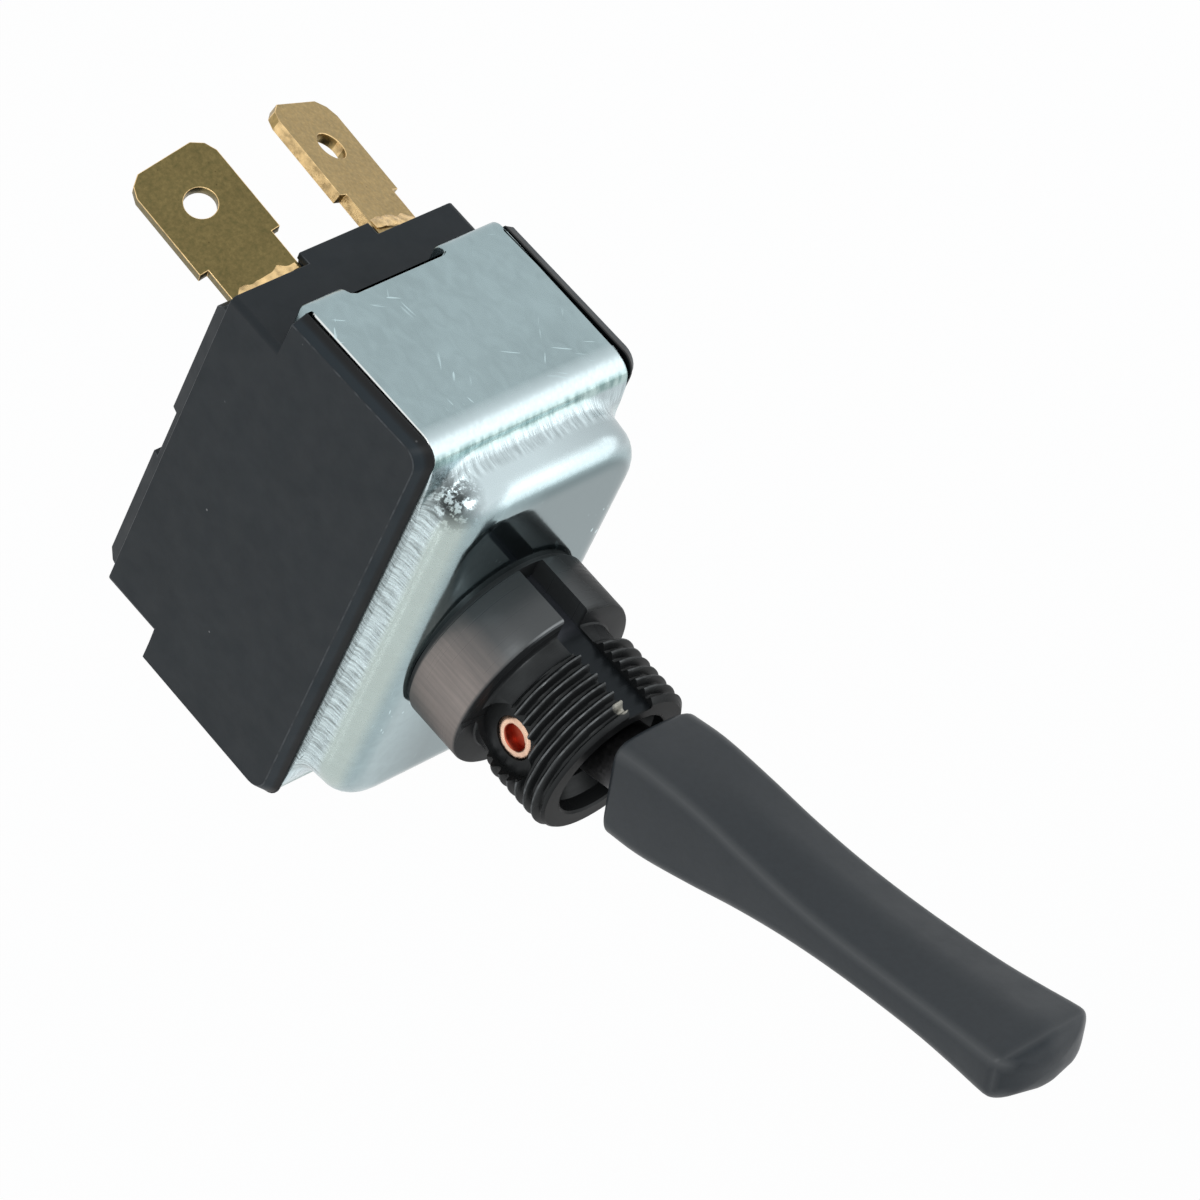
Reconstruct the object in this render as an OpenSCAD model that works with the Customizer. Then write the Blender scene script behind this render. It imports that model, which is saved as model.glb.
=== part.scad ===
// Heavy-duty panel toggle switch, single pole, on-off, with two push-on tabs.
// Millimetres. The bushing axis is Z, the lever points along +Z and swings in the
// YZ plane, and the outer front face of the bracket is at z = 0. The keyway is at +Y.

/* [Bushing] */
// Major diameter of the 15/32-32 mounting thread
thread_d = 11.8; // [11.6:0.05:11.9]
// Diameter of the collar that seats behind the panel
collar_d = 13.85; // [13:0.05:15]
// Height of the collar
collar_h = 4.9; // [3:0.1:6]
// Height of the bushing over the bracket
bushing_h = 11.95; // [10:0.05:14]
// Width of the keyway
keyway_w = 2.0; // [1.8:0.05:2.4]

/* [Lever] */
// Lean of the lever toward the keyway in the off position, in degrees
lever_tilt = 16.2; // [10:0.1:17]
// Distance from the pivot to the lever's tip
lever_len = 41.5; // [30:0.1:44]
// Height of the pivot pin's axis over the bracket
pivot_z = 7.35; // [7:0.05:7.6]
// Diameter of the pivot rivet
rivet_d = 3.0; // [2.4:0.05:3.2]

/* [Case] */
// Width of the case over its two cheeks
case_w = 18.96; // [18:0.02:20]
// Length of the case's front portion at the shoulder, inside the bevels
case_len = 32.44; // [31:0.02:33]
// Length of the narrower rear portion
rear_len = 27.56; // [26:0.02:28]
// Depth from the bracket's front face to the shoulder
shoulder_z = 16.6; // [16:0.1:18]
// Depth from the bracket's front face to the terminal face
base_z = 21.35; // [21:0.05:23]

/* [Bracket] */
// Thickness of the steel sheet
sheet = 0.8; // [0.6:0.05:0.85]
// Width of the two flanges
flange_w = 16.86; // [16:0.02:16.9]
// Length of the bracket over its flanges
bracket_len = 34.1; // [34:0.02:34.2]
// Depth of the shoulder beside the raised pan
pan_depth = 3.6; // [3:0.1:4]

/* [Terminals] */
// Width of the push-on tabs
tab_w = 6.3; // [4.8:0.05:6.35]
// Thickness of the tabs
tab_t = 0.8; // [0.5:0.05:0.8]
// Turn of the left tab about its own length, in degrees
left_turn = 16.8; // [0:0.1:18]
// Turn of the right tab about its own length, in degrees
right_turn = -20.2; // [-21:0.1:0]
// Outward lean of the left tab, in degrees
left_lean = 5.8; // [0:0.1:6]
// Outward lean of the right tab, in degrees
right_lean = 3.0; // [0:0.1:6]

/* [Hidden] */
$fn = 64;
eps = 0.01;

// Case
cheek_x = case_w / 2;                // outer face of a cheek
cheek_root_x = 8.47;                 // where the cheek's bevel starts
bevel = 0.6;                         // bevel of the cheeks in y and z
ease = 0.25;                         // eased edge of the shoulders
front_y = case_len / 2;              // half length of the front portion, inside the bevel
draft = 0.22;                        // growth of that half length toward the mouth
rear_y = rear_len / 2;               // half length of the rear portion
rim_y = 12.3;                        // half length of the rear rims
rim_z = 22.35;                       // depth of the rear rims
mouth_z = 3.85;                      // depth of the case's mouth
wall_y = bracket_len / 2 - sheet;    // case wall under a flange
seat_z = pan_depth + sheet;          // depth of the rim that the bracket sits on
cavity_x = 7.3;                      // half width of the switch chamber
cavity_y = 13.9;                     // half length of the switch chamber
rear_cavity_y = 11.6;                // half length of the chamber between the shoulders
floor_z = 19.4;                      // depth of the chamber floor
foot_z = floor_z + 0.1;              // depth of the terminals' feet, let into the floor
barrier_x = 2.95;                    // half width of the barrier between the tabs
stop_z = 16.65;                      // depth of the pad under the rocker's idle arm

// Insulator
insulator_t = 0.8;
insulator_x = 7.9;                   // half width
insulator_y = 15.2;                  // half length
insulator_gap = 0.05;

// Bracket
pan_x = 8.25;                        // half width of the raised pan
pan_y = 15.1;                        // half length of the raised pan
pan_r = 2;                           // edge radius of the pan
pan_corner_r = 4.2;                  // corner radius of the pan in plan
bend_r = 1.35;                       // outer radius of the flange bends
flange_z = 16.35;                    // depth of the flanges' rear edges
ear_left = 5;                        // inner edge of the left ears
ear_right = 3.2;                     // inner edge of the right ears
ear_outer = 7.7;                     // outer edge of all four ears
ear_reach = 2.4;                     // reach of an ear over the shoulder

// Bushing
neck_d = 10.6;                       // undercut between the collar and the thread
neck_end = 6.45;                     // height at which the thread starts
bore_r = 3.5;                        // bore round the lever's ball
mouth_r = 4.15;                      // widened mouth of the bore
skirt_r = 4.65;                      // bore under the ball
spigot_r = 5.25;                     // spigot staked through the bracket
key_floor = 5.05;                    // distance from the axis to the keyway's floor
rivet_half = 4.55;                   // half length of the pivot rivet
rivet_recess_r = 2.4;                // spot-face round each end of the rivet

// Lever
ball_r = 3.2;
neck_r = 2.3;
shank_r = 1.7;
shank_end = -13;
tang_w = 3.6;
tang_t = 1.2;
handle_start = 7.2;
tang_end = 28;
// Each station is [distance from the pivot, half width, half thickness at the edges]
lever_stations = [[7.2, 3.4, 3.2], [11, 3.45, 3.22], [15, 3.38, 2.7], [20, 3.38, 1.93],
                  [26, 3.48, 1.38], [33, 3.65, 1.36], [39.2, 4.05, 1.5]];
crown = 0.8;                         // rise of the faces along the lever's centre line
tip_r = 7.5;                         // radius of the domed tip

// Plunger
plunger_bore_r = 1.2;
plunger_r = 1.15;
plunger_tip_s = -17.1;
plunger_tip_r = 1.3;
collar_s = -14.6;                    // underside of the plunger's collar
collar_t = 0.7;
spring_wire = 0.4;

// Rocker
rocker_z = -13.5;
rocker_turn = lever_tilt / 2;        // the rocker turns half as far as the lever
rocker_half = 5;
saddle_r = 8.7;                      // radius of the dish that the plunger sweeps
saddle_z = 2.15;                     // height of the dish over the axle
arm_bottom = -1.6;                   // underside of the rocker's arms
axle_r = 0.8;

// Terminals
tab_z = 32.7;                        // depth of the tabs' tips
tab_shoulder_z = 24.9;               // depth of the tabs' shoulders
tab_hole_z = 28.9;
tab_hole_r = 1.1;
neck_w = 5;
left_pos = [-5.07, 11.75];           // middle of the left tab's thickness
right_pos = [5.46, 12.23];           // middle of the right tab's thickness
contact_y = 8;                       // line on which both fixed contacts stand
contact_r = 1.6;
contact_t = 0.8;
crown_r = 4;                         // radius of a fixed contact's crown
moving_contact_t = 0.8;
blade_t = 0.5;
blade_rivet_y = 5.1;

case_black = [0.13, 0.14, 0.15];
zinc = [0.78, 0.82, 0.84];
black_metal = [0.22, 0.21, 0.2];
copper = [0.85, 0.45, 0.32];
brass = [0.72, 0.62, 0.4];
silver_metal = [0.85, 0.85, 0.83];
lever_black = [0.24, 0.25, 0.26];
fibre = [0.55, 0.32, 0.2];
steel = [0.6, 0.61, 0.63];
moulding = [0.45, 0.2, 0.12];

// ---- shared shapes ----

// Rounded rectangle centred on the origin
module rounded_rect(w, l, r) {
  union() {
    square([w - 2 * r, l], center = true);
    square([w, l - 2 * r], center = true);
    for (sx = [-1, 1], sy = [-1, 1])
      translate([sx * (w / 2 - r), sy * (l / 2 - r)]) circle(r);
  }
}

// Extrudes an outline drawn in (y, z) along X, centred
module along_x(w) {
  rotate([90, 0, 90]) linear_extrude(w, center = true) children();
}

// Extrudes an outline drawn in (x, z) along Y, centred
module along_y(l) {
  rotate([90, 0, 0]) linear_extrude(l, center = true) children();
}

// Frame of the lever: origin on the pivot, z along the lever
module on_lever() {
  translate([0, 0, pivot_z]) rotate([-lever_tilt, 0, 0]) children();
}

// Frame of the rocker in the off position
module on_rocker() {
  translate([0, 0, rocker_z]) rotate([rocker_turn, 0, 0]) children();
}

// ---- case ----

// Front portion of the side outline in (y, z), grown by g at the bevelled edges
module front_outline(g) {
  r = 1.2;
  y = front_y + draft + g;
  z = mouth_z + bevel - g;
  union() {
    polygon([[-y + draft, -shoulder_z], [-y, -z - r], [-y + r, -z], [y - r, -z], [y, -z - r],
             [y - draft, -shoulder_z]]);
    for (s = [-1, 1]) translate([s * (y - r), -z - r]) circle(r);
  }
}

// One cheek's bevelled edge, from the cheek's root to its outer face
module cheek_bevel(side) {
  mirror([side < 0 ? 1 : 0, 0, 0])
    hull() {
      translate([cheek_root_x, 0, 0]) along_x(eps) front_outline(bevel, $fn = 24);
      translate([cheek_x - eps / 2, 0, 0]) along_x(eps) front_outline(0, $fn = 24);
    }
}

// Raised rim along one side of the terminal face, with its long bevel and notch
module rear_rim(side) {
  rim_w = 1.5;
  rim_bevel = 0.45;
  mirror([side < 0 ? 1 : 0, 0, 0])
    difference() {
      translate([cheek_x - rim_w, 0, 0]) along_y(2 * rim_y)
        polygon([[0, -base_z + 0.5], [rim_w, -base_z + 0.5], [rim_w, -base_z + 0.4],
                 [rim_w - rim_bevel, -rim_z], [0, -rim_z]]);
      translate([cheek_x - rim_w - 1, -2.1, -rim_z - 1]) cube([4, 4.2, 1.5]);
      for (s = [-1, 1])
        translate([cheek_x, s * rim_y, -rim_z]) rotate([45, 0, 0]) cube([4, 0.8, 0.8], center = true);
    }
}

module case() color(case_black)
  difference() {
    union() {
      // walls between the cheeks, under the flanges, eased inside the folded ears
      along_x(2 * cheek_root_x) union() {
        polygon([[-wall_y, -shoulder_z + ease], [-wall_y + ease, -shoulder_z],
                 [wall_y - ease, -shoulder_z], [wall_y, -shoulder_z + ease],
                 [wall_y, -seat_z - 0.8], [wall_y - 0.8, -seat_z],
                 [-wall_y + 0.8, -seat_z], [-wall_y, -seat_z - 0.8]]);
        for (s = [-1, 1]) translate([s * (wall_y - 0.8), -seat_z - 0.8]) circle(0.8);
      }
      for (s = [-1, 1]) cheek_bevel(s);
      // rear portion with rounded upright edges
      translate([0, 0, -base_z]) linear_extrude(base_z - shoulder_z + eps)
        rounded_rect(case_w, rear_len, 0.5);
      for (s = [-1, 1]) rear_rim(s);
      // barrier between the tabs
      translate([-barrier_x, -rear_y, -rim_z]) cube([2 * barrier_x, 2 * rear_y, rim_z - base_z + 0.5]);
    }
    // switch chamber, its narrower rear part round the stop pad, and the insulator's seat
    translate([0, 0, -shoulder_z + 1.4]) linear_extrude(shoulder_z) rounded_rect(2 * cavity_x, 2 * cavity_y, 1.2);
    difference() {
      translate([0, 0, -floor_z]) linear_extrude(floor_z)
        rounded_rect(2 * cavity_x, 2 * rear_cavity_y, 1.2);
      translate([-3, -9, -floor_z - 1]) cube([6, 2, floor_z - stop_z + 1]);
    }
    translate([0, 0, -seat_z - insulator_t]) linear_extrude(3)
      rounded_rect(2 * (insulator_x + insulator_gap), 2 * (insulator_y + insulator_gap), 1.2);
    // grooves that take the rocker's axle
    for (s = [-1, 1]) {
      translate([s * (cavity_x + 0.35) - 0.45, -axle_r - 0.02, rocker_z])
        cube([0.9, 2 * axle_r + 0.04, -rocker_z]);
      translate([s * (cavity_x + 0.35), 0, rocker_z]) rotate([0, 90, 0])
        cylinder(h = 0.9, r = axle_r + 0.02, center = true);
    }
    // slots that hold the terminals
    terminal_slot(left_pos, left_turn);
    terminal_slot(right_pos, right_turn);
  }

// ---- bracket ----

// Plan outline of the pan cut to its edge rounding, inset by t, standing on depth d
module pan_solid(t, d) {
  r = pan_r - t;
  x = pan_x - t;
  y = pan_y - t;
  intersection() {
    along_x(2 * x + 2) union() {
      translate([-y, -d]) square([2 * y, d - t - r]);
      translate([-y + r, -d]) square([2 * (y - r), d - t]);
      for (s = [-1, 1]) translate([s * (y - r), -t - r]) circle(r);
    }
    along_y(2 * y + 2) union() {
      translate([-x, -d]) square([2 * x, d - t - r]);
      translate([-x + r, -d]) square([2 * (x - r), d - t]);
      for (s = [-1, 1]) translate([s * (x - r), -t - r]) circle(r);
    }
    translate([0, 0, -d - 1]) linear_extrude(d + 2) rounded_rect(2 * x, 2 * y, pan_corner_r - t);
  }
}

// Outline in (y, z) of the channel with its two bends, inset by t
module channel_outline(t) {
  y = bracket_len / 2 - t;
  r = bend_r - t;
  z = pan_depth + t;
  union() {
    translate([-y, -flange_z]) square([2 * y, flange_z - z - r]);
    translate([-y + r, -flange_z]) square([2 * (y - r), flange_z - z]);
    for (s = [-1, 1]) translate([s * (y - r), -z - r]) circle(r);
  }
}

// One ear folded over the case's shoulder, drawn in (y, z) at the +Y side
module ear_outline() {
  y = bracket_len / 2;
  z = shoulder_z + sheet + 0.02;
  r = sheet + 0.25;
  difference() {
    union() {
      translate([y - sheet, -z + r]) square([sheet, z - r - flange_z + 1]);
      translate([y - r, -z + r]) intersection() {
        circle(r);
        translate([0, -r]) square(r);
      }
      translate([y - ear_reach, -z]) square([ear_reach - r, sheet]);
    }
    translate([y - r, -z + r]) intersection() {
      circle(r - sheet);
      translate([0, -r]) square(r);
    }
  }
}

module bracket() color(zinc)
  difference() {
    union() {
      // channel with the pan's mouth cut out of its shoulder
      difference() {
        along_x(flange_w) channel_outline(0);
        along_x(flange_w + 2) union() {
          channel_outline(sheet);
          translate([-bracket_len / 2 + sheet, -flange_z - 1]) square([bracket_len - 2 * sheet, 2]);
        }
        pan_solid(sheet, pan_depth + sheet + 2);
      }
      difference() {
        pan_solid(0, pan_depth + sheet - 0.55);
        pan_solid(sheet, pan_depth + sheet + 2);
      }
      for (sy = [0, 1]) mirror([0, sy, 0]) {
        translate([-(ear_left + ear_outer) / 2, 0, 0]) along_x(ear_outer - ear_left) ear_outline();
        translate([(ear_right + ear_outer) / 2, 0, 0]) along_x(ear_outer - ear_right) ear_outline();
      }
    }
    translate([0, 0, -sheet - 1]) cylinder(h = sheet + 2, r = spigot_r);
    // corners of the flanges, cut back beside the ears
    for (s = [-1, 1]) translate([s * flange_w / 2, 0, -flange_z]) rotate([0, 45, 0])
      cube([1, bracket_len + 2, 1], center = true);
  }

// ---- insulator ----

module insulator() color(fibre)
  translate([0, 0, -seat_z - insulator_t])
    linear_extrude(insulator_t) difference() {
      rounded_rect(2 * insulator_x, 2 * insulator_y, 1.2);
      union() {
        square([4.8, 8.4], center = true);
        for (s = [-1, 1]) translate([0, s * 4.2]) circle(2.4);
      }
    }

// ---- bushing ----

module bushing() color(black_metal)
  difference() {
    rotate_extrude(angle = 360) polygon([
      [0, -sheet - 0.7], [spigot_r + 0.5, -sheet - 0.7], [spigot_r + 0.5, -sheet - 0.3],
      [spigot_r, -sheet], [spigot_r, 0], [collar_d / 2 - 0.3, 0], [collar_d / 2 - 0.3, 0.3],
      [collar_d / 2, 0.45], [collar_d / 2, collar_h - 0.2], [collar_d / 2 - 0.2, collar_h],
      [neck_d / 2, collar_h], [neck_d / 2, neck_end - 0.3], [thread_d / 2, neck_end],
      [thread_d / 2, bushing_h - 0.45], [thread_d / 2 - 0.45, bushing_h], [0, bushing_h]]);
    // bore: mouth, cone, seat of the ball, cone and skirt
    rotate_extrude(angle = 360) polygon([
      [0, -sheet - 1.7], [skirt_r, -sheet - 1.7], [skirt_r, 1.2], [bore_r, 5.2], [bore_r, 9.9],
      [mouth_r, 10.9], [mouth_r, bushing_h - 0.15], [mouth_r + 0.15, bushing_h],
      [mouth_r + 0.15, bushing_h + 1], [0, bushing_h + 1]]);
    // keyway
    translate([-keyway_w / 2, key_floor, 0.3]) cube([keyway_w, 4, bushing_h + 1]);
    // cross hole for the pivot rivet, wider outside the rivet's ends
    translate([0, 0, pivot_z]) rotate([0, 90, 0]) cylinder(h = collar_d, r = rivet_d / 2, center = true);
    for (s = [-1, 1]) translate([s * (rivet_half + 1.5), 0, pivot_z]) rotate([0, 90, 0])
      cylinder(h = 3, r = rivet_recess_r, center = true);
  }

// Tubular rivet with rolled ends
module pivot_rivet() color(copper)
  translate([0, 0, pivot_z]) rotate([0, 90, 0])
    rotate_extrude(angle = 360) union() {
      polygon([[0, -rivet_half + 0.7], [0.85, -rivet_half + 0.7], [0.85, -rivet_half + 0.1],
               [0.95, -rivet_half], [rivet_d / 2 - 0.15, -rivet_half],
               [rivet_d / 2, -rivet_half + 0.15], [rivet_d / 2, rivet_half - 0.15],
               [rivet_d / 2 - 0.15, rivet_half], [0.95, rivet_half], [0.85, rivet_half - 0.1],
               [0.85, rivet_half - 0.7], [0, rivet_half - 0.7]]);
    }

// ---- terminals and contacts ----

// Frame of a terminal: x across the tab, y through its thickness, z along it
module on_terminal(pos, turn) {
  translate([pos[0], pos[1], 0]) rotate([0, 0, turn]) children();
}

// How far a fixed contact stands from its tab's plane
function reach(pos, turn) = (pos[1] - contact_y) / cos(turn);

// Where a fixed contact stands in plan
function contact_at(pos, turn) = [pos[0] + reach(pos, turn) * sin(turn), contact_y];

// Upright neck and foot of a terminal, the neck running down to the given depth
module terminal_root(pos, turn, depth) {
  foot_len = reach(pos, turn) + contact_r + 0.2;
  on_terminal(pos, turn) union() {
    translate([-neck_w / 2, -tab_t / 2, -depth]) cube([neck_w, tab_t, depth - foot_z + tab_t]);
    translate([-neck_w / 2, -foot_len, -foot_z]) cube([neck_w, foot_len, tab_t]);
  }
}

// Slot for a terminal, wider where the leaning tab passes the barrier
module terminal_slot(pos, turn) {
  union() {
    terminal_root(pos, turn, base_z + 0.1);
    on_terminal(pos, turn) translate([-neck_w / 2 - 0.1, -tab_t / 2 - 0.1, -rim_z - 1])
      cube([neck_w + 0.2, tab_t + 0.5, rim_z - base_z + 1]);
  }
}

// Push-on tab with bevelled lead-in corners, leaning outward from the case
module terminal(pos, turn, lean) {
  c = 1.1;
  half = tab_w / 2;
  neck = neck_w / 2;
  difference() {
    union() {
      terminal_root(pos, turn, base_z);
      on_terminal(pos, turn) translate([0, 0, -base_z]) union() {
        rotate([0, 90, 0]) cylinder(h = neck_w, r = tab_t / 2, center = true);
        rotate([90 + lean, 0, 0]) linear_extrude(tab_t, center = true) polygon([
          [-neck, 0], [-neck, base_z - tab_shoulder_z], [-half, base_z - tab_shoulder_z],
          [-half, base_z - tab_z + 1.25 * c], [-half + 0.35, base_z - tab_z + 0.5 * c],
          [-half + c, base_z - tab_z], [half - c, base_z - tab_z],
          [half - 0.35, base_z - tab_z + 0.5 * c], [half, base_z - tab_z + 1.25 * c],
          [half, base_z - tab_shoulder_z], [neck, base_z - tab_shoulder_z], [neck, 0]]);
      }
    }
    on_terminal(pos, turn) translate([0, 0, -base_z]) rotate([lean, 0, 0])
      translate([0, 0, base_z - tab_hole_z]) rotate([90, 0, 0])
        cylinder(h = tab_t + 1, r = tab_hole_r, center = true);
    on_terminal(pos, turn) translate([0, -reach(pos, turn), -foot_z - 1])
      cylinder(h = tab_t + 2, r = 0.8);
  }
}

module terminal_left() color(brass) terminal(left_pos, left_turn, left_lean);
module terminal_right() color(brass) terminal(right_pos, right_turn, right_lean);

// Crowned button contact with a shank clenched in the terminal's foot
module fixed_contact(pos, turn) {
  at = contact_at(pos, turn);
  translate([at[0], at[1], -foot_z]) union() {
    cylinder(h = tab_t + 0.2, r = 0.8);
    intersection() {
      translate([0, 0, tab_t]) cylinder(h = contact_t, r = contact_r);
      translate([0, 0, tab_t + contact_t - crown_r]) sphere(crown_r);
    }
  }
}

module fixed_contact_left() color(silver_metal) fixed_contact(left_pos, left_turn);
module fixed_contact_right() color(silver_metal) fixed_contact(right_pos, right_turn);

// Where a moving contact sits on the rocker, so that it lands on the fixed one
button_face = arm_bottom - blade_t - moving_contact_t;
function contact_on_rocker(c) =
  [c[0], (c[1] - sin(rocker_turn) * button_face) / cos(rocker_turn)];
left_button = contact_on_rocker(contact_at(left_pos, left_turn));
right_button = contact_on_rocker(contact_at(right_pos, right_turn));

// Button with a bevelled face, its shank clenched over the bridge blade
module moving_contact(at) {
  on_rocker() translate([at[0], at[1], button_face]) union() {
    rotate_extrude(angle = 360) polygon([[0, 0], [contact_r - 0.4, 0], [contact_r, 0.25],
                            [contact_r, moving_contact_t], [0, moving_contact_t]]);
    cylinder(h = moving_contact_t + blade_t, r = 0.7);
    translate([0, 0, moving_contact_t + blade_t]) cylinder(h = 0.35, r = 1);
  }
}

module moving_contact_left() color(silver_metal) moving_contact(left_button);
module moving_contact_right() color(silver_metal) moving_contact(right_button);

// Copper spring blade that bridges the two contacts
module bridge_blade() color(copper)
  on_rocker() difference() {
    translate([0, 0, arm_bottom - blade_t]) linear_extrude(blade_t) union() {
      translate([-5.9, left_button[1] - 1.9]) square([11.8, 3.9]);
      translate([-2.2, 4]) square([4.4, left_button[1] - 4]);
    }
    for (b = [left_button, right_button])
      translate([b[0], b[1], arm_bottom - 1]) cylinder(h = 2, r = 0.7);
    translate([0, blade_rivet_y, arm_bottom - 1]) cylinder(h = 2, r = 0.6);
  }

module bridge_rivet() color(brass)
  on_rocker() translate([0, blade_rivet_y, arm_bottom - blade_t - 0.5]) union() {
    cylinder(h = 0.5, r = 1.1);
    cylinder(h = 0.5 + blade_t + 1.4, r = 0.6);
  }

// ---- rocker ----

module rocker_axle() color(steel)
  translate([0, 0, rocker_z]) rotate([0, 90, 0])
    cylinder(h = 2 * cavity_x + 1.4, r = axle_r, center = true);

module rocker() color(moulding)
  on_rocker() difference() {
    union() {
      // two arms under the block of the saddle
      along_x(2 * rocker_half) polygon([[-8.6, arm_bottom], [10.2, arm_bottom], [10.2, -0.4],
        [5.6, 0.4], [5.6, 1], [-5.6, 1], [-5.6, 0.4], [-8.6, -0.4]]);
      translate([-3, -5.6, 0]) cube([6, 11.2, 3.9]);
      rotate([0, 90, 0]) cylinder(h = 2 * cavity_x - 0.6, r = 2, center = true);
    }
    // dish that the plunger's tip sweeps over
    translate([0, 0, saddle_z + saddle_r]) rotate([0, 90, 0])
      cylinder(h = 20, r = saddle_r, center = true);
    rotate([0, 90, 0]) cylinder(h = 20, r = axle_r + 0.05, center = true);
    // pockets round the moving contacts' clenched ends
    for (b = [left_button, right_button])
      translate([b[0], b[1], arm_bottom - 1]) cylinder(h = 1.5, r = 1.2);
    translate([0, blade_rivet_y, arm_bottom - 1]) cylinder(h = 2.4, r = 0.6);
  }

// ---- lever ----

module lever_shank() color(steel)
  on_lever() difference() {
    union() {
      sphere(ball_r);
      cylinder(h = handle_start, r = neck_r);
      translate([0, 0, -5]) cylinder(h = 5, r = neck_r - 0.1);
      translate([0, 0, shank_end]) cylinder(h = -shank_end, r = shank_r);
      translate([-tang_w / 2, -tang_t / 2, 0]) cube([tang_w, tang_t, tang_end]);
    }
    rotate([0, 90, 0]) cylinder(h = 12, r = rivet_d / 2 + 0.06, center = true);
    translate([0, 0, shank_end - 1]) cylinder(h = 9.3, r = plunger_bore_r);
  }

// Cross-section of the handle: flat sides, crowned faces and rounded edges
module handle_section(a, b) {
  r = 0.55;
  k = crown;
  polygon([[-a, -b + r], [-a, b - r], [-a + 0.16, b - 0.16], [-a + r, b + k * 0.12],
           [-a * 0.45, b + k * 0.72], [0, b + k], [a * 0.45, b + k * 0.72],
           [a - r, b + k * 0.12], [a - 0.16, b - 0.16], [a, b - r], [a, -b + r],
           [a - 0.16, -b + 0.16], [a - r, -b - k * 0.12], [a * 0.45, -b - k * 0.72], [0, -b - k],
           [-a * 0.45, -b - k * 0.72], [-a + r, -b - k * 0.12], [-a + 0.16, -b + 0.16]]);
}

module lever_handle() color(lever_black)
  on_lever() difference() {
    intersection() {
      union() {
        for (i = [0 : len(lever_stations) - 2]) hull()
          for (st = [lever_stations[i], lever_stations[i + 1]])
            translate([0, 0, st[0]]) linear_extrude(0.02) handle_section(st[1], st[2]);
        // domed tip
        translate([0, 0, lever_stations[6][0]]) linear_extrude(lever_len - lever_stations[6][0])
          handle_section(lever_stations[6][1], lever_stations[6][2]);
      }
      // round base that widens to the flat faces, and the arc of the tip
      rotate_extrude(angle = 360) polygon([[0, handle_start], [3.5, handle_start], [4.3, handle_start + 0.8],
        [4.45, 14], [4.9, 20], [4.9, lever_len], [0, lever_len]]);
      translate([0, 0, lever_len - tip_r]) union() {
        sphere(tip_r);
        translate([-8, -6, -40]) cube([16, 12, 40]);
      }
    }
    // pocket of the shank's tang
    translate([-tang_w / 2, -tang_t / 2, handle_start - 1]) cube([tang_w, tang_t, tang_end - handle_start + 1]);
  }

// ---- plunger ----

module plunger() color(brass)
  on_lever() union() {
    translate([0, 0, plunger_tip_s]) sphere(plunger_tip_r);
    translate([0, 0, plunger_tip_s]) cylinder(h = collar_s - plunger_tip_s + eps, r = plunger_tip_r);
    translate([0, 0, collar_s]) cylinder(h = collar_t, r = shank_r);
    translate([0, 0, collar_s]) cylinder(h = collar_t + 4.9, r = plunger_r);
  }

// Coil spring over the plunger, as closed rings joined by a thin sleeve
module plunger_spring() color(steel)
  on_lever() difference() {
    union() {
      for (i = [0 : 5]) translate([0, 0, -8.75 + i * 0.75]) rotate_extrude(angle = 360)
        translate([0.9, 0]) circle(spring_wire / 2);
      translate([0, 0, -8.75]) cylinder(h = 3.75, r = 0.95);
    }
    translate([0, 0, -10]) cylinder(h = 6, r = 0.8);
  }

case();
bracket();
insulator();
bushing();
pivot_rivet();
terminal_left();
terminal_right();
fixed_contact_left();
fixed_contact_right();
rocker_axle();
lever_shank();
lever_handle();
plunger_spring();
plunger();
rocker();
bridge_blade();
bridge_rivet();
moving_contact_left();
moving_contact_right();
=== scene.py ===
"""Dresses the panel toggle switch: case, bracket, threaded bushing, bat lever and tabs."""

import math

import bmesh
import bpy
from bpy.props import FloatProperty, FloatVectorProperty, IntProperty, PointerProperty
from mathutils import Matrix, Vector, noise


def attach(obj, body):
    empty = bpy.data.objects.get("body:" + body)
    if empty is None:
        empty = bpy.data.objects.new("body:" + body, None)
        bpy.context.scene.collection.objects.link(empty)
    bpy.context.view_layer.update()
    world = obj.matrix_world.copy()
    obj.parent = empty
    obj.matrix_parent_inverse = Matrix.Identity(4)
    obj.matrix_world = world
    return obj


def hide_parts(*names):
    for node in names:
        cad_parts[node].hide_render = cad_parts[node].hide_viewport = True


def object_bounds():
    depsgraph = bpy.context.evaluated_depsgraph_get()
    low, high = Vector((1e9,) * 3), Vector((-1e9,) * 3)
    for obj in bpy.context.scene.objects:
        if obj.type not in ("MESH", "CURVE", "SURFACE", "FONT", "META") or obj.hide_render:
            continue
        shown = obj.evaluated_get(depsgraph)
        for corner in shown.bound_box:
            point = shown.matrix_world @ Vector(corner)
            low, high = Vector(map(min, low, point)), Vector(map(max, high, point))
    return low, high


bl_info = {
    "name": "Panel Toggle Switch",
    "version": (1, 0, 0),
    "blender": (4, 5, 0),
    "location": "View3D > Sidebar > Switch",
    "description": "Builds a keyed, threaded bat-lever toggle switch over its packed frame",
    "category": "Add Mesh",
}

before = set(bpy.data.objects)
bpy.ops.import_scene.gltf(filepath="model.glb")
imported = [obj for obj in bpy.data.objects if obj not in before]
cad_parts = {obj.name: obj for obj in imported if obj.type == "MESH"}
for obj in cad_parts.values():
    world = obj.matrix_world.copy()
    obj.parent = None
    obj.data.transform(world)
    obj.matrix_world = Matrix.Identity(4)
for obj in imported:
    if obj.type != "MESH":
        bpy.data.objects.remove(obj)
CAD_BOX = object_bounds()
MM = 0.001
PITCH = 25.4 / 32
PIVOT = Vector((0.0, 0.0, 7.35)) * MM
LEAN = math.radians(16.2)
# vertex layer that carries the lever's painted edge highlight
EDGE_HIGHLIGHT = "edge_highlight"


# ---------------------------------------------------------------- sizes and colours

def length(name, text, default):
    return FloatProperty(name=name, description=text, default=default * MM,
                         unit="LENGTH", precision=5)


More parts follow.
